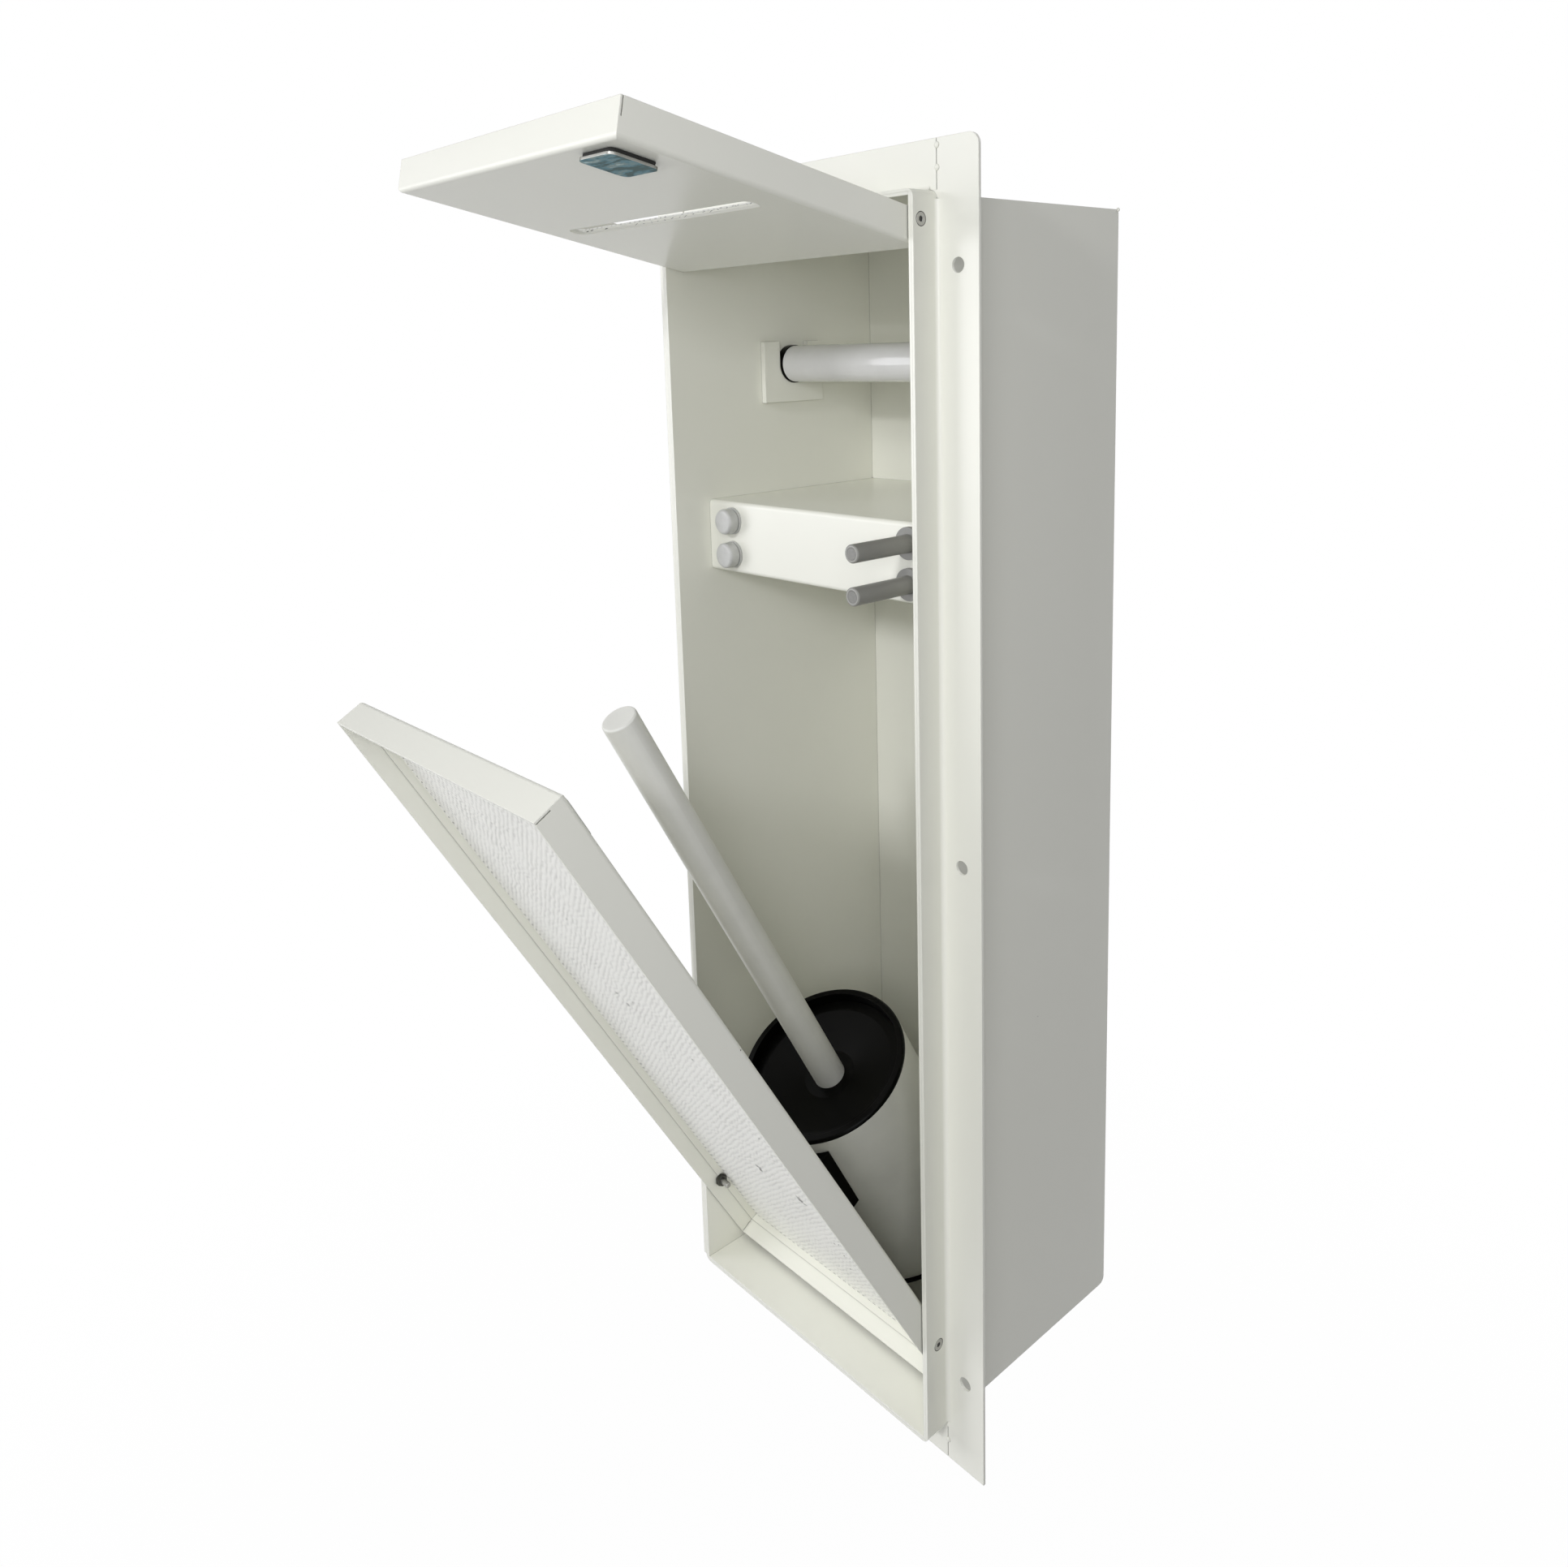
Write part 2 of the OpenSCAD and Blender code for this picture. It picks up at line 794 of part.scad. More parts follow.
// A block between two heights whose back edges are bent round on all four sides
module pan_block(w, y0, y1, z0, z1, r) {
    intersection() {
        plate_yz(-w / 2, w / 2)
            translate([y0, z0])
                round_rect(y1 - y0, z1 - z0, 0, r, r, 0);
        translate([0, 0, z0])
            linear_extrude(height = z1 - z0)
                translate([-w / 2, y0])
                    round_rect(w, y1 - y0, 0, 0, r, r);
    }
}

// Folded door tray, open to the front, with its hinge holes and its open corner slits
module door_pan(z0, z1, pin_y, pin_z) {
    color(steel_white)
        difference() {
            pan_block(door_w, door_front, door_back, z0, z1, door_bend_r);
            pan_block(door_w - 2 * door_t, door_front - over, door_back - door_t, z0 + door_t,
                z1 - door_t, door_bend_r - door_t);
            translate([0, pin_y, pin_z])
                along_x(pin_d / 2 + running, -door_w / 2 - over, door_w / 2 + over);
            for (side = [-1, 1])
                for (z = [z0 + door_t - rim_slit_w / 2, z1 - door_t - rim_slit_w / 2])
                    translate([side * door_w / 2 - door_t - over, door_front - over, z])
                        cube([2 * door_t + 2 * over, rim_slit_d + over, rim_slit_w]);
        }
}

// Round-ended paper slot, cut through everything in the upper door
module slot_cut() {
    plate_xz(door_front, door_back + over)
        translate([-slot_l / 2, slot_z - slot_h / 2])
            round_rect(slot_l, slot_h, slot_h / 2, slot_h / 2, slot_h / 2, slot_h / 2);
}

// Shallow tray that lies in a door and carries the mesh board
module tile_tray(z0, z1, pin_y, pin_z) {
    tray_z0 = z0 + door_t + tray_gap;
    tray_z1 = z1 - door_t - tray_gap;
    color(steel_white)
        difference() {
            pan_block(tray_w, tray_front, door_back - door_t, tray_z0, tray_z1,
                door_bend_r - door_t + tray_t);
            pan_block(tray_w - 2 * tray_t, tray_front - over, board_back, tray_z0 + tray_t,
                tray_z1 - tray_t, door_bend_r - door_t);
            for (side = [-1, 1])
                translate([side * door_w / 2, pin_y, pin_z])
                    along_x(nut_clear_r, -door_t - nut_h - pass - over, door_t + nut_h + pass + over);
        }
}

// Mesh board on the floor of a tray
module mesh_board(z0, z1) {
    edge = door_t + tray_gap + tray_t + board_edge;
    color(board_white)
        translate([-door_w / 2 + edge, board_back - board_t, z0 + edge])
            cube([door_w - 2 * edge, board_t, z1 - z0 - 2 * edge]);
}

// Square plate with round corners behind a door
module strike_sheet(y0, y1, w, r, z) {
    plate_xz(y0, y1)
        translate([latch_x - w / 2, z - w / 2])
            round_rect(w, w, r, r, r, r);
}

module strike_pad(z) {
    color(cap_black)
        strike_sheet(door_back, door_back + strike_pad_t, strike_w - 2 * strike_pad_in,
            strike_r - strike_pad_in, z);
}

module strike_plate(z) {
    color(zinc_blue)
        strike_sheet(door_back + strike_pad_t, strike_face_y, strike_w, strike_r, z);
}

module upper_door_pan() {
    upper_swing()
        difference() {
            door_pan(upper_z0, upper_z1, upper_pin_y, upper_pin_z);
            slot_cut();
        }
}

module upper_tile_tray() {
    upper_swing()
        difference() {
            tile_tray(upper_z0, upper_z1, upper_pin_y, upper_pin_z);
            slot_cut();
        }
}

module upper_mesh_board() {
    upper_swing()
        difference() {
            mesh_board(upper_z0, upper_z1);
            slot_cut();
        }
}

module upper_strike_pad() {
    upper_swing()
        strike_pad(upper_z0 + strike_edge);
}

module upper_strike_plate() {
    upper_swing()
        strike_plate(upper_z0 + strike_edge);
}

// The two rivets' axes, from the tray's front towards the cradle
module at_rivets() {
    for (side = [-1, 1])
        translate([side * rivet_x, 0, rivet_z])
            children();
}

module lower_door_pan() {
    lower_swing()
        difference() {
            door_pan(lower_z0, lower_z1, lower_pin_y, lower_pin_z);
            at_rivets()
                along_y(rivet_d / 2 + seat, door_back - door_t - over, door_back + over);
        }
}

module lower_tile_tray() {
    lower_swing()
        difference() {
            tile_tray(lower_z0, lower_z1, lower_pin_y, lower_pin_z);
            at_rivets()
                along_y(rivet_head_d / 2 + seat, tray_front, door_back);
        }
}

module lower_mesh_board() {
    lower_swing()
        mesh_board(lower_z0, lower_z1);
}

module lower_strike_pad() {
    lower_swing()
        strike_pad(lower_z1 - lower_strike_edge);
}

module lower_strike_plate() {
    lower_swing()
        strike_plate(lower_z1 - lower_strike_edge);
}

// Flat-headed rivets that hold the cradle to the lower door
module cradle_rivets() {
    color(bare_steel)
        lower_swing()
            at_rivets() {
                along_y(rivet_head_d / 2, board_back, door_back - door_t);
                along_y(rivet_d / 2, door_back - door_t, door_back + rivet_grip);
            }
}

// Cross-section of the hanger rail, or of its groove when it is drawn wider all round
module rail_section(clear) {
    translate([-rail_w / 2 - clear, rail_y - rail_t - clear])
        square([rail_w + 2 * clear, rail_t + 2 * clear]);
    translate([-rail_neck / 2 - clear, rail_y - rail_t])
        square([rail_neck + 2 * clear, -rail_y + rail_t - cup_r + pass]);
}

// Black cradle: flat towards the door, hollowed to the container, with a groove for its rail
module cup_cradle() {
    cradle_z1 = cup_rim_z - cradle_drop;
    color(cap_black)
        lower_swing()
            difference() {
                plate_xz(door_back, cup_y - cup_r / 2)
                    translate([-cradle_w / 2, cradle_z1 - cradle_h])
                        square([cradle_w, cradle_h]);
                translate([0, cup_y, cup_rim_z])
                    rotate([-cup_lean, 0, 0]) {
                        translate([0, 0, -cup_l - over])
                            cylinder(r = cup_r + pass, h = cup_l + over);
                        translate([0, 0, rail_z0 - pass])
                            linear_extrude(height = cup_l)
                                rail_section(pass);
                    }
                at_rivets()
                    along_y(rivet_d / 2 + seat, door_back - over, door_back + rivet_grip + seat);
            }
}

module cup_sleeve() {
    color(steel_white)
        cup_place()
            translate([0, 0, -lip_t - seat - cup_l])
                difference() {
                    cylinder(r = cup_r, h = cup_l);
                    translate([0, 0, -over])
                        cylinder(r = cup_r - cup_wall, h = cup_l + 2 * over);
                }
}

// Hanger rail on the container's wall, which drops into the cradle's groove
module cup_rail() {
    color(cap_black)
        cup_place()
            difference() {
                translate([0, 0, rail_z0])
                    linear_extrude(height = rail_z1 - rail_z0)
                        rail_section(0);
                translate([0, 0, rail_z0 - over])
                    cylinder(r = cup_r + seat, h = rail_z1 - rail_z0 + 2 * over);
            }
}

// Black foot: a lip under the sleeve's wall, and a low plug that closes the sleeve
module cup_foot() {
    sleeve_z0 = -lip_t - seat - cup_l;
    plug_h = 4;
    color(cap_black)
        cup_place()
            translate([0, 0, sleeve_z0]) {
                translate([0, 0, -foot_lip])
                    cylinder(r = cup_r + foot_out, h = foot_lip);
                translate([0, 0, -foot_h])
                    cylinder(r = cup_r - cup_wall, h = foot_h - foot_lip);
                cylinder(r = cup_r - cup_wall - seat, h = plug_h - pass);
            }
}

// Black liner: a deep cup with a lip on the sleeve's rim and a ledge for the brush lid
module cup_liner() {
    color(cap_black)
        cup_place()
            rotate_extrude()
                difference() {
                    union() {
                        translate([0, -lip_t])
                            round_rect(cup_r, lip_t, 0, 0, lip_t / 2, 0);
                        translate([0, -liner_d])
                            square([liner_r, liner_d]);
                    }
                    translate([0, -ledge_z])
                        square([liner_in_r, ledge_z + over]);
                    translate([0, -ledge_z - liner_wall - over / 2])
                        square([ledge_in_r, liner_wall + over]);
                    translate([0, -liner_d + liner_wall])
                        square([liner_in_r, liner_d - 2 * liner_wall - ledge_z]);
                }
}

// Brush lid: a flat rim on the liner's ledge and a dish that falls to the handle
module brush_lid() {
    rim_z = -ledge_z + pass;
    hub_r = handle_d / 2 + lid_rim;
    color(cap_black)
        cup_place()
            rotate_extrude()
                polygon([[0, -core_top], [hub_r, -core_top], [ledge_in_r - pass, rim_z],
                    [lid_r, rim_z], [lid_r, rim_z + lid_t], [lid_r - lid_rim, rim_z + lid_t],
                    [hub_r, -handle_in], [0, -handle_in]]);
}

module brush_handle() {
    color(steel_white)
        cup_place()
            translate([0, 0, -handle_in])
                rotate_extrude()
                    round_rect(handle_d / 2, handle_l + handle_in, 0, 0, handle_r, 0);
}

module brush_core() {
    color(cap_black)
        cup_place()
            translate([0, 0, -core_top - core_l])
                cylinder(r = core_d / 2, h = core_l);
}

// Bristle head: a round brush with softened edges, bored for the core
module brush_bristles() {
    bore_r = core_d / 2 + seat;
    color(cap_black)
        cup_place()
            translate([0, 0, -bristle_top - bristle_l])
                rotate_extrude()
                    translate([bore_r, 0])
                        round_rect(bristle_d / 2 - bore_r, bristle_l, 0, bristle_r, bristle_r, 0);
}

rear_wrap();
side_plate_left();
side_plate_right();
flange_strip_left();
flange_strip_right();
flange_strip_top();
flange_strip_bottom();
shelf_box();
latch_barrel_upper();
latch_barrel_lower();
latch_pin_upper();
latch_pin_lower();
latch_magnet_upper();
latch_magnet_lower();
door_buffers();
rod_bracket_left();
rod_bracket_right();
rod_cap_left();
rod_cap_right();
rod_tube();
hinge_screws_upper();
hinge_screws_lower();
hinge_nuts_upper();
hinge_nuts_lower();
upper_door_pan();
upper_tile_tray();
upper_mesh_board();
upper_strike_pad();
upper_strike_plate();
lower_door_pan();
lower_tile_tray();
lower_mesh_board();
lower_strike_pad();
lower_strike_plate();
cup_cradle();
cradle_rivets();
cup_sleeve();
cup_rail();
cup_foot();
cup_liner();
brush_lid();
brush_handle();
brush_core();
brush_bristles();
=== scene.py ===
import math
import random

import bmesh
import bpy
from mathutils import Matrix, Vector


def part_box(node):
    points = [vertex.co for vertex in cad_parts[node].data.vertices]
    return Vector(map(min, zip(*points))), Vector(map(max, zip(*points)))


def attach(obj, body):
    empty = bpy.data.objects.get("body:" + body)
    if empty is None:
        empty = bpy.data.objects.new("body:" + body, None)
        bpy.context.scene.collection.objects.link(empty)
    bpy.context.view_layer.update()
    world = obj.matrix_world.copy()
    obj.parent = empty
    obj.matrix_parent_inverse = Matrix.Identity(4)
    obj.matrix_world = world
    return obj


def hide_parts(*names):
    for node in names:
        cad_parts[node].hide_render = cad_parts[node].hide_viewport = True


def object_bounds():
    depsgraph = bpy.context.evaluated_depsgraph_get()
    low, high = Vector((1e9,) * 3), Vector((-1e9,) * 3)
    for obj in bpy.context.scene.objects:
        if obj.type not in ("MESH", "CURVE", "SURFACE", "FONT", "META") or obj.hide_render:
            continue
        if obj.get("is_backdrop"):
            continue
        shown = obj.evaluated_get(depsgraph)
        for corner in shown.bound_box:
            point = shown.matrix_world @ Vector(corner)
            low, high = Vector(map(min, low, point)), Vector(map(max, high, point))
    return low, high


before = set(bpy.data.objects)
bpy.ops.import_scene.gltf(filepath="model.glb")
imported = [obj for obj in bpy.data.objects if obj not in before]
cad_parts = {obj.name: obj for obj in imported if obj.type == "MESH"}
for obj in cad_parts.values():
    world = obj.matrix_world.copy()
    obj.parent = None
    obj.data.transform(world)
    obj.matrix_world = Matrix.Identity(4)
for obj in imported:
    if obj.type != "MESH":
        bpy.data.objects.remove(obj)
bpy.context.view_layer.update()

# Housing: the box, its flange strips and the hollow shelf.
# All are folded from 1.25 mm sheet steel, welded, and powder coated white in one go.
# The coat is glossy with a fine orange peel and a few specks, and painted shade darkens it in inner
# corners, creases and narrow gaps between parts.
COAT_PALE = (0.885, 0.888, 0.803, 1.0)
COAT_DEEP = (0.862, 0.864, 0.776, 1.0)
SPECK_GREY = (0.2, 0.2, 0.18, 1.0)
CORNER_SHADE = (0.3, 0.3, 0.26, 1.0)
SPECK_REACH = 0.009


def powder_coat(name, gloss, shine):
    coat = bpy.data.materials.new(name)
    coat.use_nodes = True
    tree = coat.node_tree
    skin = tree.nodes["Principled BSDF"]
    skin.inputs["Roughness"].default_value = gloss
    skin.inputs["Specular IOR Level"].default_value = shine
    place = tree.nodes.new("ShaderNodeTexCoord")
    cloud = tree.nodes.new("ShaderNodeTexNoise")
    cloud.inputs["Scale"].default_value = 9.0
    cloud.inputs["Detail"].default_value = 3.0
    tree.links.new(place.outputs["Object"], cloud.inputs["Vector"])
    tones = tree.nodes.new("ShaderNodeMix")
    tones.data_type = "RGBA"
    tones.inputs[6].default_value = COAT_PALE
    tones.inputs[7].default_value = COAT_DEEP
    tree.links.new(cloud.outputs["Fac"], tones.inputs[0])
    specks = tree.nodes.new("ShaderNodeTexVoronoi")
    specks.inputs["Scale"].default_value = 26.0
    specks.inputs["Randomness"].default_value = 1.0
    tree.links.new(place.outputs["Object"], specks.inputs["Vector"])
    dot = tree.nodes.new("ShaderNodeMath")
    dot.operation = "LESS_THAN"
    dot.inputs[1].default_value = SPECK_REACH
    tree.links.new(specks.outputs["Distance"], dot.inputs[0])
    specked = tree.nodes.new("ShaderNodeMix")
    specked.data_type = "RGBA"
    specked.inputs[7].default_value = SPECK_GREY
    tree.links.new(tones.outputs[2], specked.inputs[6])
    tree.links.new(dot.outputs[0], specked.inputs[0])
    # Painted shade: occlusion mixes the coat's colour towards a dark grey in inner corners and narrow
    # gaps.
    corner = tree.nodes.new("ShaderNodeAmbientOcclusion")
    corner.samples = 8
    corner.inputs["Distance"].default_value = 0.0011
    painted_shade = tree.nodes.new("ShaderNodeMapRange")
    painted_shade.inputs["From Min"].default_value = 0.22
    painted_shade.inputs["From Max"].default_value = 0.7
    painted_shade.inputs["To Min"].default_value = 0.85
    painted_shade.inputs["To Max"].default_value = 0.0
    tree.links.new(corner.outputs["AO"], painted_shade.inputs["Value"])
    shaded_in_creases = tree.nodes.new("ShaderNodeMix")
    shaded_in_creases.data_type = "RGBA"
    shaded_in_creases.inputs[7].default_value = CORNER_SHADE
    tree.links.new(specked.outputs[2], shaded_in_creases.inputs[6])
    tree.links.new(painted_shade.outputs["Result"], shaded_in_creases.inputs[0])
    tree.links.new(shaded_in_creases.outputs[2], skin.inputs["Base Color"])
    peel = tree.nodes.new("ShaderNodeTexNoise")
    peel.inputs["Scale"].default_value = 700.0
    peel.inputs["Detail"].default_value = 2.0
    tree.links.new(place.outputs["Object"], peel.inputs["Vector"])
    soft_edge = tree.nodes.new("ShaderNodeBevel")
    soft_edge.samples = 6
    soft_edge.inputs["Radius"].default_value = 0.0004
    bump = tree.nodes.new("ShaderNodeBump")
    bump.inputs["Strength"].default_value = 0.1
    bump.inputs["Distance"].default_value = 0.00012
    tree.links.new(peel.outputs["Fac"], bump.inputs["Height"])
    tree.links.new(soft_edge.outputs["Normal"], bump.inputs["Normal"])
    tree.links.new(bump.outputs["Normal"], skin.inputs["Normal"])
    return coat


def finish_in(material, *names):
    for name in names:
        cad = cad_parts[name]
        cad.data.materials.clear()
        cad.data.materials.append(material)


housing_coat = powder_coat("housing_coat", 0.24, 0.32)
finish_in(housing_coat, "rear_wrap", "side_plate_left", "side_plate_right", "flange_strip_left",
          "flange_strip_right", "flange_strip_top", "flange_strip_bottom", "shelf_box")

# Weld beads: two small tacks across each open corner slit of the flange, and one burr at each
# upper rear corner of the box. They are left unground and coated over.
TACK_OUT = 0.0801
TACK_FRONT = -0.0001
TACK_HEIGHTS = (0.2895, 0.2812, -0.2795)
TACK_SIZE = (0.0011, 0.0005, 0.0013)
BURR_OUT = 0.0789
BURR_BACK = 0.1243
BURR_HEIGHT = 0.2716
BURR_SIZE = (0.0009, 0.0006, 0.0009)


def piece(name, build, body, material):
    mesh = bpy.data.meshes.new(name)
    build.to_mesh(mesh)
    build.free()
    mesh.materials.append(material)
    made = bpy.data.objects.new(name, mesh)
    bpy.context.scene.collection.objects.link(made)
    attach(made, body)
    return made


beads = bmesh.new()
rng = random.Random(11)
bead_places = []
for side in (-1, 1):
    for height in TACK_HEIGHTS:
        bead_places.append((Vector((side * TACK_OUT, TACK_FRONT, height)), TACK_SIZE))
    bead_places.append((Vector((side * BURR_OUT, BURR_BACK, BURR_HEIGHT)), BURR_SIZE))
for middle, size in bead_places:
    for vert in bmesh.ops.create_icosphere(beads, subdivisions=3, radius=1.0)["verts"]:
        wobble = 1 + rng.uniform(-0.06, 0.06)
        lump = Vector((vert.co.x * size[0], vert.co.y * size[1], vert.co.z * size[2]))
        vert.co = middle + lump * wobble
for face in beads.faces:
    face.smooth = True
piece("weld_beads", beads, "housing", housing_coat)

# Door buffers: two soft round pads of clear grey plastic, glued to the shelf's face at the left.
# They take the doors' knock. Light goes a little way into them, and they are faintly cloudy.
GEL_DEEP = (0.47, 0.475, 0.455, 1.0)
GEL_PALE = (0.6, 0.605, 0.58, 1.0)
buffer_gel = bpy.data.materials.new("buffer_gel")
buffer_gel.use_nodes = True
tree = buffer_gel.node_tree
gel = tree.nodes["Principled BSDF"]
gel.inputs["Roughness"].default_value = 0.3
gel.inputs["Subsurface Weight"].default_value = 0.5
gel.inputs["Subsurface Radius"].default_value = (0.003, 0.003, 0.003)
gel.inputs["Subsurface Scale"].default_value = 0.5
place = tree.nodes.new("ShaderNodeTexCoord")
cloud = tree.nodes.new("ShaderNodeTexNoise")
cloud.inputs["Scale"].default_value = 260.0
cloud.inputs["Detail"].default_value = 3.0
tree.links.new(place.outputs["Object"], cloud.inputs["Vector"])
milk = tree.nodes.new("ShaderNodeMix")
milk.data_type = "RGBA"
milk.inputs[6].default_value = GEL_DEEP
milk.inputs[7].default_value = GEL_PALE
tree.links.new(cloud.outputs["Fac"], milk.inputs[0])
tree.links.new(milk.outputs[2], gel.inputs["Base Color"])
ripple = tree.nodes.new("ShaderNodeBump")
ripple.inputs["Strength"].default_value = 0.1
ripple.inputs["Distance"].default_value = 0.0002
tree.links.new(cloud.outputs["Fac"], ripple.inputs["Height"])
tree.links.new(ripple.outputs["Normal"], gel.inputs["Normal"])
finish_in(buffer_gel, "door_buffers")

# Push latches: grey moulded barrels in the shelf, dark grey pins that stand out of them, and a
# magnet pressed in each pin's tip. The plastic is matt and fine-grained, with softened edges.


def moulded_plastic(name, colour, gloss, grain, depth):
    plastic = bpy.data.materials.new(name)
    plastic.use_nodes = True
    tree = plastic.node_tree
    skin = tree.nodes["Principled BSDF"]
    skin.inputs["Roughness"].default_value = gloss
    place = tree.nodes.new("ShaderNodeTexCoord")
    cloud = tree.nodes.new("ShaderNodeTexNoise")
    cloud.inputs["Scale"].default_value = 60.0
    cloud.inputs["Detail"].default_value = 4.0
    tree.links.new(place.outputs["Object"], cloud.inputs["Vector"])
    tones = tree.nodes.new("ShaderNodeMix")
    tones.data_type = "RGBA"
    tones.inputs[6].default_value = (*colour, 1.0)
    tones.inputs[7].default_value = (*(c * 0.86 for c in colour), 1.0)
    tree.links.new(cloud.outputs["Fac"], tones.inputs[0])
    tree.links.new(tones.outputs[2], skin.inputs["Base Color"])
    grit = tree.nodes.new("ShaderNodeTexNoise")
    grit.inputs["Scale"].default_value = grain
    grit.inputs["Detail"].default_value = 3.0
    tree.links.new(place.outputs["Object"], grit.inputs["Vector"])
    soft_edge = tree.nodes.new("ShaderNodeBevel")
    soft_edge.samples = 6
    soft_edge.inputs["Radius"].default_value = 0.0003
    bump = tree.nodes.new("ShaderNodeBump")
    bump.inputs["Strength"].default_value = 0.2
    bump.inputs["Distance"].default_value = depth
    tree.links.new(grit.outputs["Fac"], bump.inputs["Height"])
    tree.links.new(soft_edge.outputs["Normal"], bump.inputs["Normal"])
    tree.links.new(bump.outputs["Normal"], skin.inputs["Normal"])
    return plastic


barrel_grey = moulded_plastic("barrel_grey", (0.25, 0.25, 0.232), 0.4, 1200.0, 0.00005)
pin_grey = moulded_plastic("pin_grey", (0.27, 0.268, 0.245), 0.42, 2200.0, 0.00006)
finish_in(barrel_grey, "latch_barrel_upper", "latch_barrel_lower")
finish_in(pin_grey, "latch_pin_upper", "latch_pin_lower")


def plain_metal(name, colour, gloss, grain):
    metal = bpy.data.materials.new(name)
    metal.use_nodes = True
    tree = metal.node_tree
    skin = tree.nodes["Principled BSDF"]
    skin.inputs["Metallic"].default_value = 1.0
    place = tree.nodes.new("ShaderNodeTexCoord")
    cloud = tree.nodes.new("ShaderNodeTexNoise")
    cloud.inputs["Scale"].default_value = grain
    cloud.inputs["Detail"].default_value = 5.0
    tree.links.new(place.outputs["Object"], cloud.inputs["Vector"])
    tones = tree.nodes.new("ShaderNodeMix")
    tones.data_type = "RGBA"
    tones.inputs[6].default_value = (*(c * 0.7 for c in colour), 1.0)
    tones.inputs[7].default_value = (*(min(c * 1.25, 1.0) for c in colour), 1.0)
    tree.links.new(cloud.outputs["Fac"], tones.inputs[0])
    tree.links.new(tones.outputs[2], skin.inputs["Base Color"])
    haze = tree.nodes.new("ShaderNodeMapRange")
    haze.inputs["To Min"].default_value = gloss
    haze.inputs["To Max"].default_value = gloss + 0.2
    tree.links.new(cloud.outputs["Fac"], haze.inputs["Value"])
    tree.links.new(haze.outputs["Result"], skin.inputs["Roughness"])
    bump = tree.nodes.new("ShaderNodeBump")
    bump.inputs["Strength"].default_value = 0.15
    bump.inputs["Distance"].default_value = 0.00004
    tree.links.new(cloud.outputs["Fac"], bump.inputs["Height"])
    tree.links.new(bump.outputs["Normal"], skin.inputs["Normal"])
    return metal


magnet_face = plain_metal("magnet_face", (0.2, 0.2, 0.19), 0.45, 900.0)
finish_in(magnet_face, "latch_magnet_upper", "latch_magnet_lower")

# Latch tip rings: a thin ring round each magnet, on the pin's front face, in a paler grey that is a
# painted highlight on the tip's rounded rim.
# It stands only 0.03 mm proud of the pin, so it clears the strike plate of a shut door.
TURNING_STEPS = 48
FLAT_TURN = math.pi / 3
TIP_RING = [(-0.0004, 0.0031, False), (-0.0001, 0.0033, False), (0.00003, 0.0032, False),
            (0.00003, 0.0029, False), (-0.0002, 0.0028, False)]


def turned(build, middle, along, profile, bored=False):
    # The profile holds the distance along, the radius, and whether the ring has six flats.
    side = along.orthogonal().normalized()
    other = along.cross(side)
    rows = []
    for distance, radius, flats in profile:
        row = []
        for k in range(TURNING_STEPS):
            turn = math.tau * k / TURNING_STEPS
            reach = radius
            if flats:
                reach = radius / math.cos((turn + FLAT_TURN / 2) % FLAT_TURN - FLAT_TURN / 2)
            out = side * math.cos(turn) + other * math.sin(turn)
            row.append(build.verts.new(middle + along * distance + out * reach))
        rows.append(row)
    pairs = list(zip(rows, rows[1:]))
    if bored:
        pairs.append((rows[-1], rows[0]))
    else:
        build.faces.new(list(reversed(rows[0])))
        build.faces.new(rows[-1])
    for near, far in pairs:
        for k in range(TURNING_STEPS):
            after = (k + 1) % TURNING_STEPS
            build.faces.new((near[k], near[after], far[after], far[k]))


# Painted highlight: the ring's grey is lighter than the pin's so that the rounded rim reads as lit.
tip_painted_highlight = moulded_plastic("tip_painted_highlight", (0.42, 0.42, 0.39), 0.3, 900.0, 0.00003)
for which in ("upper", "lower"):
    pin_low, pin_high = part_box("latch_pin_" + which)
    tip = Vector(((pin_low.x + pin_high.x) / 2, pin_low.y, (pin_low.z + pin_high.z) / 2))
    ring = bmesh.new()
    turned(ring, tip, Vector((0, -1, 0)), TIP_RING, bored=True)
    piece("latch_tip_" + which, ring, which + "_latch", tip_painted_highlight)

# Roll holder: two slotted steel brackets welded to the side plates and coated with the box,
# and a smooth white plastic tube that turns on two black end caps. It lifts out of the slots.
finish_in(housing_coat, "rod_bracket_left", "rod_bracket_right")
rod_white = moulded_plastic("rod_white", (0.87, 0.87, 0.86), 0.12, 160.0, 0.00003)
finish_in(rod_white, "rod_tube")
cap_black = moulded_plastic("cap_black", (0.0022, 0.0022, 0.0018), 0.3, 700.0, 0.00004)
cap_black.node_tree.nodes["Principled BSDF"].inputs["Specular IOR Level"].default_value = 0.08
finish_in(cap_black, "rod_cap_left", "rod_cap_right")

# Hinge screws: M3 countersunk screws of plated steel with a hexagon socket, two at each hinge.
# Each sits a little deep in the collar's side; a near-black ring round its head and a near-black
# lining in its socket are painted shade in those gaps.
SCREW = [(-0.0119, 0.0012, False), (-0.0116, 0.0015, False), (-0.0014, 0.0015, False),
         (-0.00035, 0.0025, False), (-0.00015, 0.00258, False), (-0.00008, 0.0025, False),
         (-0.00005, 0.0021, False), (-0.00008, 0.00125, False), (-0.0001, 0.00108, True),
         (-0.0002, 0.00102, True), (-0.0012, 0.00102, True)]
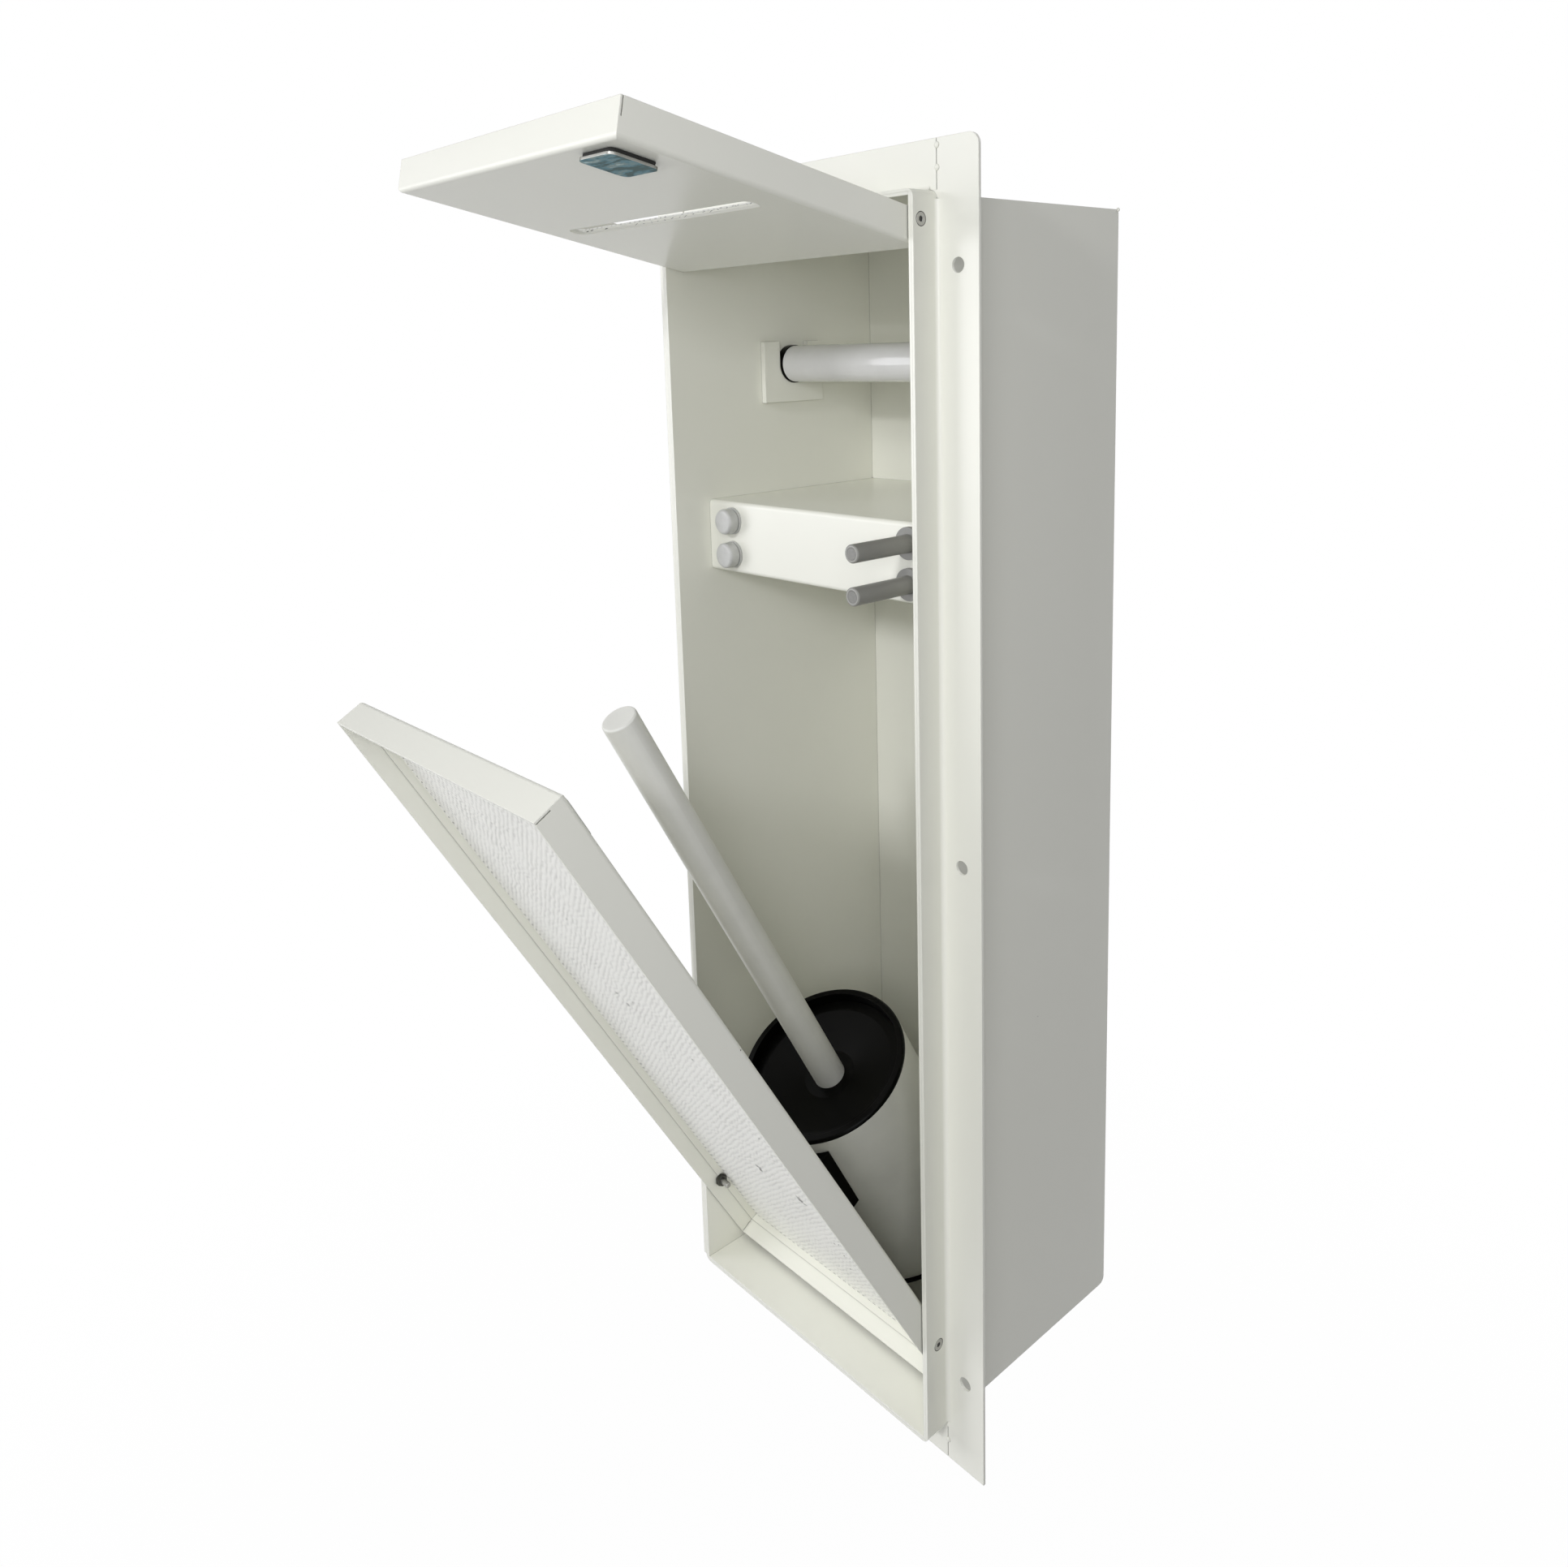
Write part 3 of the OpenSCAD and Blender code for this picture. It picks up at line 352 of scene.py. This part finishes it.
# Painted shade: the seat ring and the socket floor are near-black solids standing in for shade in the
# gap and the socket.
SEAT_SHADE_RING = [(-0.0005, 0.00255, False), (-0.0002, 0.00257, False), (-0.00012, 0.00275, False),
             (-0.00015, 0.00288, False), (-0.0005, 0.00286, False)]
SOCKET_SHADE_FLOOR = [(-0.0011, 0.0008, False), (-0.0004, 0.0009, False), (-0.00028, 0.00085, True)]
screw_steel = plain_metal("screw_steel", (0.4, 0.395, 0.375), 0.3, 1500.0)
recess_shade = moulded_plastic("recess_shade", (0.03, 0.03, 0.028), 0.6, 900.0, 0.00003)
for which in ("upper", "lower"):
    low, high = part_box("hinge_screws_" + which)
    pair = bmesh.new()
    shade_rings = bmesh.new()
    for side in (-1, 1):
        head = Vector((side * high.x, (low.y + high.y) / 2, (low.z + high.z) / 2))
        outward = Vector((side, 0, 0))
        turned(pair, head, outward, SCREW)
        turned(shade_rings, head, outward, SEAT_SHADE_RING, bored=True)
        turned(shade_rings, head, outward, SOCKET_SHADE_FLOOR)
    screws = piece("hinge_screw_pair_" + which, pair, "housing", screw_steel)
    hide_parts("hinge_screws_" + which)
    piece("screw_shade_rings_" + which, shade_rings, "housing", recess_shade)

# Hinge nuts: plain hexagon nuts of dull steel inside the doors' rims, one at each pivot.
# They turn with the door, round the screw that it hangs on.
nut_steel = plain_metal("nut_steel", (0.1, 0.1, 0.09), 0.35, 1200.0)
finish_in(nut_steel, "hinge_nuts_upper", "hinge_nuts_lower")

# Doors: two folded pans with a shallow tray in each, which holds the tiles' backing board.
# They are of the same steel and coat as the housing, and a little less shiny.
door_coat = powder_coat("door_coat", 0.26, 0.15)
finish_in(door_coat, "upper_door_pan", "lower_door_pan", "upper_tile_tray", "lower_tile_tray")

# Mesh boards: white backing boards with a coarse glass-fibre mesh bedded in their face, which
# the tile adhesive keys into. The mesh's holes are small dents 3.5 mm apart, and their grey is
# painted shade.
LOWER_TILT = math.radians(30.4)
UPPER_TILT = math.radians(101.65)
MESH_PITCHES = (("X", 0.00345), ("Z", 0.0036))
MESH_PULL = 0.004
BOARD_WHITE = (0.945, 0.945, 0.885, 1.0)
HOLE_SHADE_GREY = (0.55, 0.55, 0.51, 1.0)


def mesh_board_face(name, tilt):
    board = bpy.data.materials.new(name)
    board.use_nodes = True
    tree = board.node_tree
    skin = tree.nodes["Principled BSDF"]
    skin.inputs["Roughness"].default_value = 0.55
    place = tree.nodes.new("ShaderNodeTexCoord")
    flat = tree.nodes.new("ShaderNodeMapping")
    flat.inputs["Rotation"].default_value = (tilt, 0.0, 0.0)
    tree.links.new(place.outputs["Object"], flat.inputs["Vector"])
    pull = tree.nodes.new("ShaderNodeTexNoise")
    pull.inputs["Scale"].default_value = 190.0
    pull.inputs["Detail"].default_value = 2.0
    tree.links.new(flat.outputs["Vector"], pull.inputs["Vector"])
    centred = tree.nodes.new("ShaderNodeVectorMath")
    centred.operation = "SUBTRACT"
    centred.inputs[1].default_value = (0.5, 0.5, 0.5)
    tree.links.new(pull.outputs["Color"], centred.inputs[0])
    pulled = tree.nodes.new("ShaderNodeVectorMath")
    pulled.operation = "MULTIPLY_ADD"
    pulled.inputs[1].default_value = (MESH_PULL, MESH_PULL, MESH_PULL)
    tree.links.new(centred.outputs["Vector"], pulled.inputs[0])
    tree.links.new(flat.outputs["Vector"], pulled.inputs[2])
    gaps = []
    for along, pitch in MESH_PITCHES:
        threads = tree.nodes.new("ShaderNodeTexWave")
        threads.wave_type = "BANDS"
        threads.bands_direction = along
        # A wave texture of scale 1 repeats every tau / 20.
        threads.inputs["Scale"].default_value = math.tau / 20 / pitch
        tree.links.new(pulled.outputs["Vector"], threads.inputs["Vector"])
        swing = tree.nodes.new("ShaderNodeMath")
        swing.operation = "SUBTRACT"
        swing.inputs[1].default_value = 0.5
        tree.links.new(threads.outputs["Fac"], swing.inputs[0])
        gaps.append(swing.outputs[0])
    weave = tree.nodes.new("ShaderNodeMath")
    weave.operation = "MULTIPLY"
    tree.links.new(gaps[0], weave.inputs[0])
    tree.links.new(gaps[1], weave.inputs[1])
    hole = tree.nodes.new("ShaderNodeMapRange")
    hole.inputs["From Min"].default_value = 0.03
    hole.inputs["From Max"].default_value = 0.2
    tree.links.new(weave.outputs[0], hole.inputs["Value"])
    fibres = tree.nodes.new("ShaderNodeTexNoise")
    fibres.inputs["Scale"].default_value = 700.0
    fibres.inputs["Detail"].default_value = 3.0
    tree.links.new(flat.outputs["Vector"], fibres.inputs["Vector"])
    patchy = tree.nodes.new("ShaderNodeTexNoise")
    patchy.inputs["Scale"].default_value = 70.0
    patchy.inputs["Detail"].default_value = 3.0
    tree.links.new(flat.outputs["Vector"], patchy.inputs["Vector"])
    depth = tree.nodes.new("ShaderNodeMapRange")
    depth.inputs["From Min"].default_value = 0.3
    depth.inputs["From Max"].default_value = 0.7
    depth.inputs["To Min"].default_value = 0.35
    depth.inputs["To Max"].default_value = 1.0
    tree.links.new(patchy.outputs["Fac"], depth.inputs["Value"])
    # Painted shade: the holes' mask, varied in patches, mixes the board towards grey.
    shaded_hole = tree.nodes.new("ShaderNodeMath")
    shaded_hole.operation = "MULTIPLY"
    tree.links.new(hole.outputs["Result"], shaded_hole.inputs[0])
    tree.links.new(depth.outputs["Result"], shaded_hole.inputs[1])
    tones = tree.nodes.new("ShaderNodeMix")
    tones.data_type = "RGBA"
    tones.inputs[6].default_value = BOARD_WHITE
    tones.inputs[7].default_value = HOLE_SHADE_GREY
    tree.links.new(shaded_hole.outputs[0], tones.inputs[0])
    tree.links.new(tones.outputs[2], skin.inputs["Base Color"])
    relief = tree.nodes.new("ShaderNodeMath")
    relief.operation = "MULTIPLY_ADD"
    relief.inputs[1].default_value = -4.0
    tree.links.new(shaded_hole.outputs[0], relief.inputs[0])
    tree.links.new(fibres.outputs["Fac"], relief.inputs[2])
    bump = tree.nodes.new("ShaderNodeBump")
    bump.inputs["Strength"].default_value = 0.6
    bump.inputs["Distance"].default_value = 0.00012
    tree.links.new(relief.outputs[0], bump.inputs["Height"])
    tree.links.new(bump.outputs["Normal"], skin.inputs["Normal"])
    return board


finish_in(mesh_board_face("lower_mesh_face", -LOWER_TILT), "lower_mesh_board")
finish_in(mesh_board_face("upper_mesh_face", UPPER_TILT), "upper_mesh_board")

# Board marks: torn threads, scuffs and grit on the lower board, and dark strokes along its lower and
# left edges that are painted shade in the gaps between the thread ends. They lie on the board's face.
LOWER_PIVOT = Vector((0, -0.0057, -0.2271))
FACE_DEPTH = 0.0032
FOOT_EDGE = -0.0382
FOOT_START = -0.0705
FOOT_PITCH = 0.00352
FOOT_GAPS = 41
LEFT_EDGE = -0.0718
LEFT_START = -0.036
LEFT_PITCH = 0.0036
LEFT_GAPS = 104
STROKE_SHAPE = [(-1.0, 0.2), (-0.6, 1.0), (0.3, 0.8), (1.0, 0.1), (0.5, -0.9), (-0.5, -0.7)]
STROKE_PROUD = 0.00006
STROKE_SUNK = 0.0001
SCUFF_STROKES = 5
# Scuffs and grit have places across and up the board from its pivot, and grit has a length too.
SCUFFS = ((-0.003, 0.0683), (-0.0045, 0.0668), (0.0221, 0.063), (0.0236, 0.0615))
GRIT_WIDTH = 0.0008
GRIT = ((-0.02, 0.192, 0.0026), (-0.0165, 0.186, 0.003), (-0.007, 0.1935, 0.0012),
        (0.0165, 0.168, 0.0012), (0.028, 0.118, 0.0011), (-0.012, 0.246, 0.001),
        (0.025, 0.027, 0.0012), (0.0263, 0.0174, 0.0011), (0.021, -0.0005, 0.0011),
        (0.056, 0.003, 0.001), (0.052, -0.002, 0.0009), (0.03, 0.031, 0.0009))
door_up = Vector((0, -math.sin(LOWER_TILT), math.cos(LOWER_TILT)))
door_out = Vector((0, -math.cos(LOWER_TILT), -math.sin(LOWER_TILT)))
grit_and_shade_grey = moulded_plastic("grit_and_shade_grey", (0.07, 0.07, 0.06), 0.7, 900.0, 0.00004)
marks = bmesh.new()
rng = random.Random(3)


def stroke(build, middle, up, out, length, width, turn):
    along = Vector((1, 0, 0)) * math.cos(turn) + up * math.sin(turn)
    beside = along.cross(out)
    lid = []
    foot = []
    for a, b in STROKE_SHAPE:
        spot = middle + along * a * length / 2 + beside * b * width / 2
        lid.append(build.verts.new(spot + out * STROKE_PROUD))
        foot.append(build.verts.new(spot - out * STROKE_SUNK))
    build.faces.new(lid)
    build.faces.new(list(reversed(foot)))
    for k in range(len(STROKE_SHAPE)):
        after = (k + 1) % len(STROKE_SHAPE)
        build.faces.new((lid[k], foot[k], foot[after], lid[after]))


def on_board(across, up):
    return LOWER_PIVOT + Vector((across, 0, 0)) + door_up * up - door_out * FACE_DEPTH


# Painted shade: dark strokes in the gaps between the thread ends, along the lower edge and then the
# left edge.
for k in range(FOOT_GAPS):
    across = FOOT_START + FOOT_PITCH * k + rng.uniform(-0.0004, 0.0004)
    up = FOOT_EDGE + rng.uniform(-0.0001, 0.0001)
    stroke(marks, on_board(across, up), door_up, door_out,
           rng.uniform(0.0014, 0.0024), 0.0005, rng.uniform(-0.2, 0.1))
for k in range(LEFT_GAPS):
    across = LEFT_EDGE + rng.uniform(0, 0.0005)
    up = LEFT_START + LEFT_PITCH * k
    stroke(marks, on_board(across, up), door_up, door_out,
           rng.uniform(0.0014, 0.0022), rng.uniform(0.0002, 0.0005), rng.uniform(-0.1, 0.1))
for scuff_across, scuff_up in SCUFFS:
    for k in range(SCUFF_STROKES):
        across = scuff_across + rng.uniform(-0.0016, 0.0016)
        up = scuff_up + rng.uniform(-0.0022, 0.0022)
        stroke(marks, on_board(across, up), door_up, door_out,
               rng.uniform(0.001, 0.0028), rng.uniform(0.0004, 0.0008), rng.uniform(-1.2, 0.4))
for across, up, length in GRIT:
    stroke(marks, on_board(across, up), door_up, door_out, length, GRIT_WIDTH, rng.uniform(-1.0, 0.5))
piece("board_marks", marks, "lower_door", grit_and_shade_grey)

# Slot threads: cut ends of the board's mesh that stand into the upper door's paper slot.
# Three dark ones are at the left, and finer ones run along the slot's far wall.
UPPER_PIVOT = Vector((0, -0.0092, 0.2617))
SLOT_WALL = 0.061
LONE_THREADS = ((-0.056, -0.0079), (-0.0525, -0.0077), (-0.0415, -0.0079))
FINE_THREADS = 16
FINE_START = -0.02
FINE_PITCH = 0.0049
FINE_DEPTH = -0.0083
FINE_RISE = 0.0012
lid_down = Vector((0, -math.sin(UPPER_TILT), -math.cos(UPPER_TILT)))
lid_out = Vector((0, -math.cos(UPPER_TILT), math.sin(UPPER_TILT)))
threads = bmesh.new()


def on_slot_wall(across, depth):
    return UPPER_PIVOT + Vector((across, 0, 0)) + lid_down * SLOT_WALL + lid_out * depth


for across, depth in LONE_THREADS:
    stroke(threads, on_slot_wall(across, depth), lid_out, lid_down, 0.0024, 0.0004, 0.05)
for k in range(FINE_THREADS):
    across = FINE_START + FINE_PITCH * k + rng.uniform(-0.0014, 0.0014)
    depth = FINE_DEPTH + FINE_RISE * k / FINE_THREADS + rng.uniform(-0.00025, 0.00025)
    stroke(threads, on_slot_wall(across, depth), lid_out, lid_down,
           rng.uniform(0.0008, 0.002), rng.uniform(0.0001, 0.0002), rng.uniform(-0.5, 0.5))
piece("slot_threads", threads, "upper_door", grit_and_shade_grey)

# Strike plates: blue zinc-plated squares on black foam pads, behind the doors' free corners.
# The latch magnets grip them. The plating is streaky blue, and the cut edges are bright.
ZINC_TONES = ((0.5, (0.13, 0.26, 0.32, 1.0)), (0.58, (0.24, 0.29, 0.28, 1.0)))
ZINC_DARKEST = (0.42, (0.07, 0.12, 0.13, 1.0))
ZINC_PALEST = (0.66, (0.4, 0.56, 0.6, 1.0))
CUT_EDGE = (0.32, 0.32, 0.3, 1.0)
EDGE_FACING = 0.7


def zinc_plate(name, facing):
    plate = bpy.data.materials.new(name)
    plate.use_nodes = True
    tree = plate.node_tree
    skin = tree.nodes["Principled BSDF"]
    skin.inputs["Metallic"].default_value = 1.0
    skin.inputs["Specular Tint"].default_value = (0.5, 0.5, 0.48, 1.0)
    place = tree.nodes.new("ShaderNodeTexCoord")
    run = tree.nodes.new("ShaderNodeMapping")
    run.inputs["Scale"].default_value = (1.0, 3.2, 3.2)
    tree.links.new(place.outputs["Object"], run.inputs["Vector"])
    streaks = tree.nodes.new("ShaderNodeTexNoise")
    streaks.inputs["Scale"].default_value = 110.0
    streaks.inputs["Detail"].default_value = 6.0
    streaks.inputs["Roughness"].default_value = 0.62
    tree.links.new(run.outputs["Vector"], streaks.inputs["Vector"])
    tones = tree.nodes.new("ShaderNodeValToRGB")
    ramp = tones.color_ramp.elements
    for end, (level, colour) in zip(ramp, (ZINC_DARKEST, ZINC_PALEST)):
        end.position = level
        end.color = colour
    for level, colour in ZINC_TONES:
        ramp.new(level).color = colour
    tree.links.new(streaks.outputs["Fac"], tones.inputs["Fac"])
    direction = tree.nodes.new("ShaderNodeVectorMath")
    direction.operation = "DOT_PRODUCT"
    direction.inputs[1].default_value = facing
    tree.links.new(place.outputs["Normal"], direction.inputs[0])
    size = tree.nodes.new("ShaderNodeMath")
    size.operation = "ABSOLUTE"
    tree.links.new(direction.outputs["Value"], size.inputs[0])
    edge = tree.nodes.new("ShaderNodeMath")
    edge.operation = "LESS_THAN"
    edge.inputs[1].default_value = EDGE_FACING
    tree.links.new(size.outputs[0], edge.inputs[0])
    bright = tree.nodes.new("ShaderNodeMix")
    bright.data_type = "RGBA"
    bright.inputs[7].default_value = CUT_EDGE
    tree.links.new(edge.outputs[0], bright.inputs[0])
    tree.links.new(tones.outputs["Color"], bright.inputs[6])
    tree.links.new(bright.outputs[2], skin.inputs["Base Color"])
    haze = tree.nodes.new("ShaderNodeMapRange")
    haze.inputs["To Min"].default_value = 0.22
    haze.inputs["To Max"].default_value = 0.5
    tree.links.new(streaks.outputs["Fac"], haze.inputs["Value"])
    tree.links.new(haze.outputs["Result"], skin.inputs["Roughness"])
    soft_edge = tree.nodes.new("ShaderNodeBevel")
    soft_edge.samples = 6
    soft_edge.inputs["Radius"].default_value = 0.0003
    tree.links.new(soft_edge.outputs["Normal"], skin.inputs["Normal"])
    return plate


finish_in(zinc_plate("upper_zinc", tuple(lid_out)), "upper_strike_plate")
finish_in(zinc_plate("lower_zinc", tuple(door_out)), "lower_strike_plate")
foam_black = moulded_plastic("foam_black", (0.012, 0.012, 0.011), 0.8, 900.0, 0.0002)
finish_in(foam_black, "upper_strike_pad", "lower_strike_pad")

# Brush set: a white plastic sleeve with a black liner, lip and foot, carried by a rail in a
# black cradle that is riveted to the lower door; a black lid, a white handle and the brush.
cup_white = moulded_plastic("cup_white", (0.89, 0.892, 0.83), 0.32, 500.0, 0.00003)
finish_in(cup_white, "cup_sleeve", "brush_handle")
finish_in(cap_black, "cup_foot", "cup_liner", "cup_rail", "cup_cradle", "brush_lid", "brush_core")
finish_in(screw_steel, "cradle_rivets")

# Bristles: black nylon, set in the core in rings of tufts and trimmed to a round head.
# They replace the plain solid, and the head lies in the liner, below the lid.
LEAN = math.radians(28.4)
TUFT_RINGS = 20
TUFTS_IN_RING = 26
HAIRS_IN_TUFT = 3
HAIR_SPREAD = 0.09
HEAD_HALF = 0.034
ROUNDED_FROM = 0.026
ROUNDING = 0.9
ROOT_RADIUS = 0.0058
TIP_RADIUS = 0.0338
HAIR_HALF = 0.00042
TIP_TAPER = 0.6
FAN_OUT = 1.02
bristle_low, bristle_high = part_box("brush_bristles")
brush_up = Vector((0, -math.sin(LEAN), math.cos(LEAN)))
brush_side = Vector((1, 0, 0))
brush_back = brush_side.cross(brush_up) * -1
head_middle = (bristle_low + bristle_high) / 2
strands = bmesh.new()
rng = random.Random(4)


def hair_ring(build, middle, across, deep, size):
    ring = []
    for spot in (across, deep - across * 0.5, -deep - across * 0.5):
        ring.append(build.verts.new(middle + spot * size))
    return ring


for row in range(TUFT_RINGS):
    for k in range(TUFTS_IN_RING):
        turn = (k + 0.5 * (row % 2)) * math.tau / TUFTS_IN_RING
        for hair in range(HAIRS_IN_TUFT):
            heading = turn + rng.uniform(-HAIR_SPREAD, HAIR_SPREAD)
            height = HEAD_HALF * ((2 * row + 1) / TUFT_RINGS - 1) + rng.uniform(-0.0011, 0.0011)
            out = brush_side * math.cos(heading) + brush_back * math.sin(heading)
            past = max(0.0, abs(height) - ROUNDED_FROM)
            reach = TIP_RADIUS - past * ROUNDING - rng.uniform(0, 0.0006)
            root = head_middle + brush_up * height + out * ROOT_RADIUS
            end = head_middle + brush_up * (height * FAN_OUT) + out * reach
            across = out.cross(brush_up).normalized() * HAIR_HALF
            deep = brush_up * HAIR_HALF
            near = hair_ring(strands, root, across, deep, 1.0)
            far = hair_ring(strands, end, across, deep, TIP_TAPER)
            for i in range(3):
                j = (i + 1) % 3
                strands.faces.new((near[i], near[j], far[j], far[i]))
            strands.faces.new(far)
nylon = moulded_plastic("nylon", (0.012, 0.012, 0.012), 0.35, 1500.0, 0.00002)
bristle_tufts = piece("bristle_tufts", strands, "brush", nylon)
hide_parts("brush_bristles")

# Floor: a wide, plain pale floor below the hanging niche. It shows white to the camera, to gloss
# and to glass, and as matt paint to the light, so it throws no more light on the niche than paint.
FLOOR_HALF = 6
FLOOR_LEVEL = -0.62
FLOOR_PAINT = (0.85, 0.85, 0.85, 1.0)
SHADE_FULL = 0.65
SHADE_GONE = 1.1
SHADE_WHITE = 0.98
floor_mesh = bpy.data.meshes.new("floor")
floor_corners = []
for x, y in ((-1, -1), (1, -1), (1, 1), (-1, 1)):
    floor_corners.append((x * FLOOR_HALF, y * FLOOR_HALF, FLOOR_LEVEL))
floor_mesh.from_pydata(floor_corners, [], [(0, 1, 2, 3)])
floor = bpy.data.objects.new("floor", floor_mesh)
bpy.context.scene.collection.objects.link(floor)
floor_paint = bpy.data.materials.new("floor_paint")
floor_paint.use_nodes = True
tree = floor_paint.node_tree
matt = tree.nodes["Principled BSDF"]
matt.inputs["Base Color"].default_value = FLOOR_PAINT
matt.inputs["Roughness"].default_value = 0.9
glow = tree.nodes.new("ShaderNodeEmission")
glow.inputs["Strength"].default_value = 1.0
spot = tree.nodes.new("ShaderNodeTexCoord")
reach = tree.nodes.new("ShaderNodeVectorMath")
reach.operation = "LENGTH"
tree.links.new(spot.outputs["Object"], reach.inputs[0])
fade = tree.nodes.new("ShaderNodeMapRange")
fade.inputs["From Min"].default_value = SHADE_FULL
fade.inputs["From Max"].default_value = SHADE_GONE
fade.inputs["To Min"].default_value = SHADE_WHITE
fade.inputs["To Max"].default_value = 1.0
tree.links.new(reach.outputs["Value"], fade.inputs["Value"])


def seen_rays(tree):
    ray = tree.nodes.new("ShaderNodeLightPath")
    seen = tree.nodes.new("ShaderNodeMath")
    seen.operation = "MAXIMUM"
    tree.links.new(ray.outputs["Is Camera Ray"], seen.inputs[0])
    tree.links.new(ray.outputs["Is Glossy Ray"], seen.inputs[1])
    through = tree.nodes.new("ShaderNodeMath")
    through.operation = "MAXIMUM"
    tree.links.new(seen.outputs[0], through.inputs[0])
    tree.links.new(ray.outputs["Is Transmission Ray"], through.inputs[1])
    return through.outputs[0]


share = tree.nodes.new("ShaderNodeMath")
share.operation = "MULTIPLY"
tree.links.new(seen_rays(tree), share.inputs[0])
tree.links.new(fade.outputs["Result"], share.inputs[1])
blend = tree.nodes.new("ShaderNodeMixShader")
tree.links.new(share.outputs[0], blend.inputs["Fac"])
tree.links.new(matt.outputs["BSDF"], blend.inputs[1])
tree.links.new(glow.outputs["Emission"], blend.inputs[2])
tree.links.new(blend.outputs["Shader"], tree.nodes["Material Output"].inputs["Surface"])
floor_mesh.materials.append(floor_paint)
floor_paint.cycles.emission_sampling = "NONE"
floor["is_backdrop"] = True

# Studio: a dim white room that looks white to the camera, with five square soft lamps aimed at the
# niche: the key from high in front, broad ones from the left and from behind, and two weak fills.
ROOM_LIGHT = 0.12
LAMP_WHITE = (0.99, 0.99, 1.03)
world = bpy.data.worlds.new("studio")
bpy.context.scene.world = world
world.use_nodes = True
tree = world.node_tree
air = tree.nodes["Background"]
air.inputs["Color"].default_value = (1.0, 1.0, 1.0, 1.0)
air.inputs["Strength"].default_value = ROOM_LIGHT
white = tree.nodes.new("ShaderNodeBackground")
white.inputs["Color"].default_value = (1.0, 1.0, 1.0, 1.0)
white.inputs["Strength"].default_value = 1.0
mixed = tree.nodes.new("ShaderNodeMixShader")
tree.links.new(seen_rays(tree), mixed.inputs["Fac"])
tree.links.new(air.outputs["Background"], mixed.inputs[1])
tree.links.new(white.outputs["Background"], mixed.inputs[2])
tree.links.new(mixed.outputs["Shader"], tree.nodes["World Output"].inputs["Surface"])


def soft_lamp(name, place, width, power):
    lamp = bpy.data.lights.new(name, "AREA")
    lamp.shape = "SQUARE"
    lamp.size = width
    lamp.energy = power
    lamp.color = LAMP_WHITE
    stand = bpy.data.objects.new(name, lamp)
    bpy.context.scene.collection.objects.link(stand)
    stand.location = place
    stand.rotation_mode = "QUATERNION"
    stand.rotation_quaternion = (-Vector(place)).to_track_quat("-Z", "Y")


soft_lamp("key_lamp", (0.5, -2.85, 1.35), 0.35, 27.5)
soft_lamp("left_lamp", (-1.0, -1.0, 0.3), 0.8, 7.5)
soft_lamp("rear_lamp", (0.9, 0.9, 1.3), 0.8, 5.0)
soft_lamp("upper_fill", (0.3, -0.8, 0.6), 0.5, 0.6)
soft_lamp("hand_fill", (0.47, -0.47, 0.27), 0.25, 1.28)

# Camera: at the photograph's viewing angle, a little above the shelf, in front and to the right.
# Its angles are the turn to the left of straight ahead, the tilt down and a slight roll.
CAMERA_PLACE = Vector((0.40524, -0.37271, 0.21512))
YAW, PITCH, ROLL = 0.845, -0.164, -0.030
lens = bpy.data.cameras.new("camera")
lens.sensor_width = 36.0
lens.lens = 28.37
lens.shift_y = -0.1481
lens.clip_start = 0.01
camera = bpy.data.objects.new("camera", lens)
bpy.context.scene.collection.objects.link(camera)
ahead = Vector((-math.sin(YAW) * math.cos(PITCH), math.cos(YAW) * math.cos(PITCH), math.sin(PITCH)))
level = Vector((math.cos(YAW), math.sin(YAW), 0))
above = level.cross(ahead)
right = level * math.cos(ROLL) + above * math.sin(ROLL)
top = above * math.cos(ROLL) - level * math.sin(ROLL)
stance = Matrix((right, top, -ahead)).transposed().to_4x4()
stance.translation = CAMERA_PLACE
camera.matrix_world = stance
bpy.context.scene.camera = camera
bpy.context.scene.view_settings.view_transform = "Standard"

low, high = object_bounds()
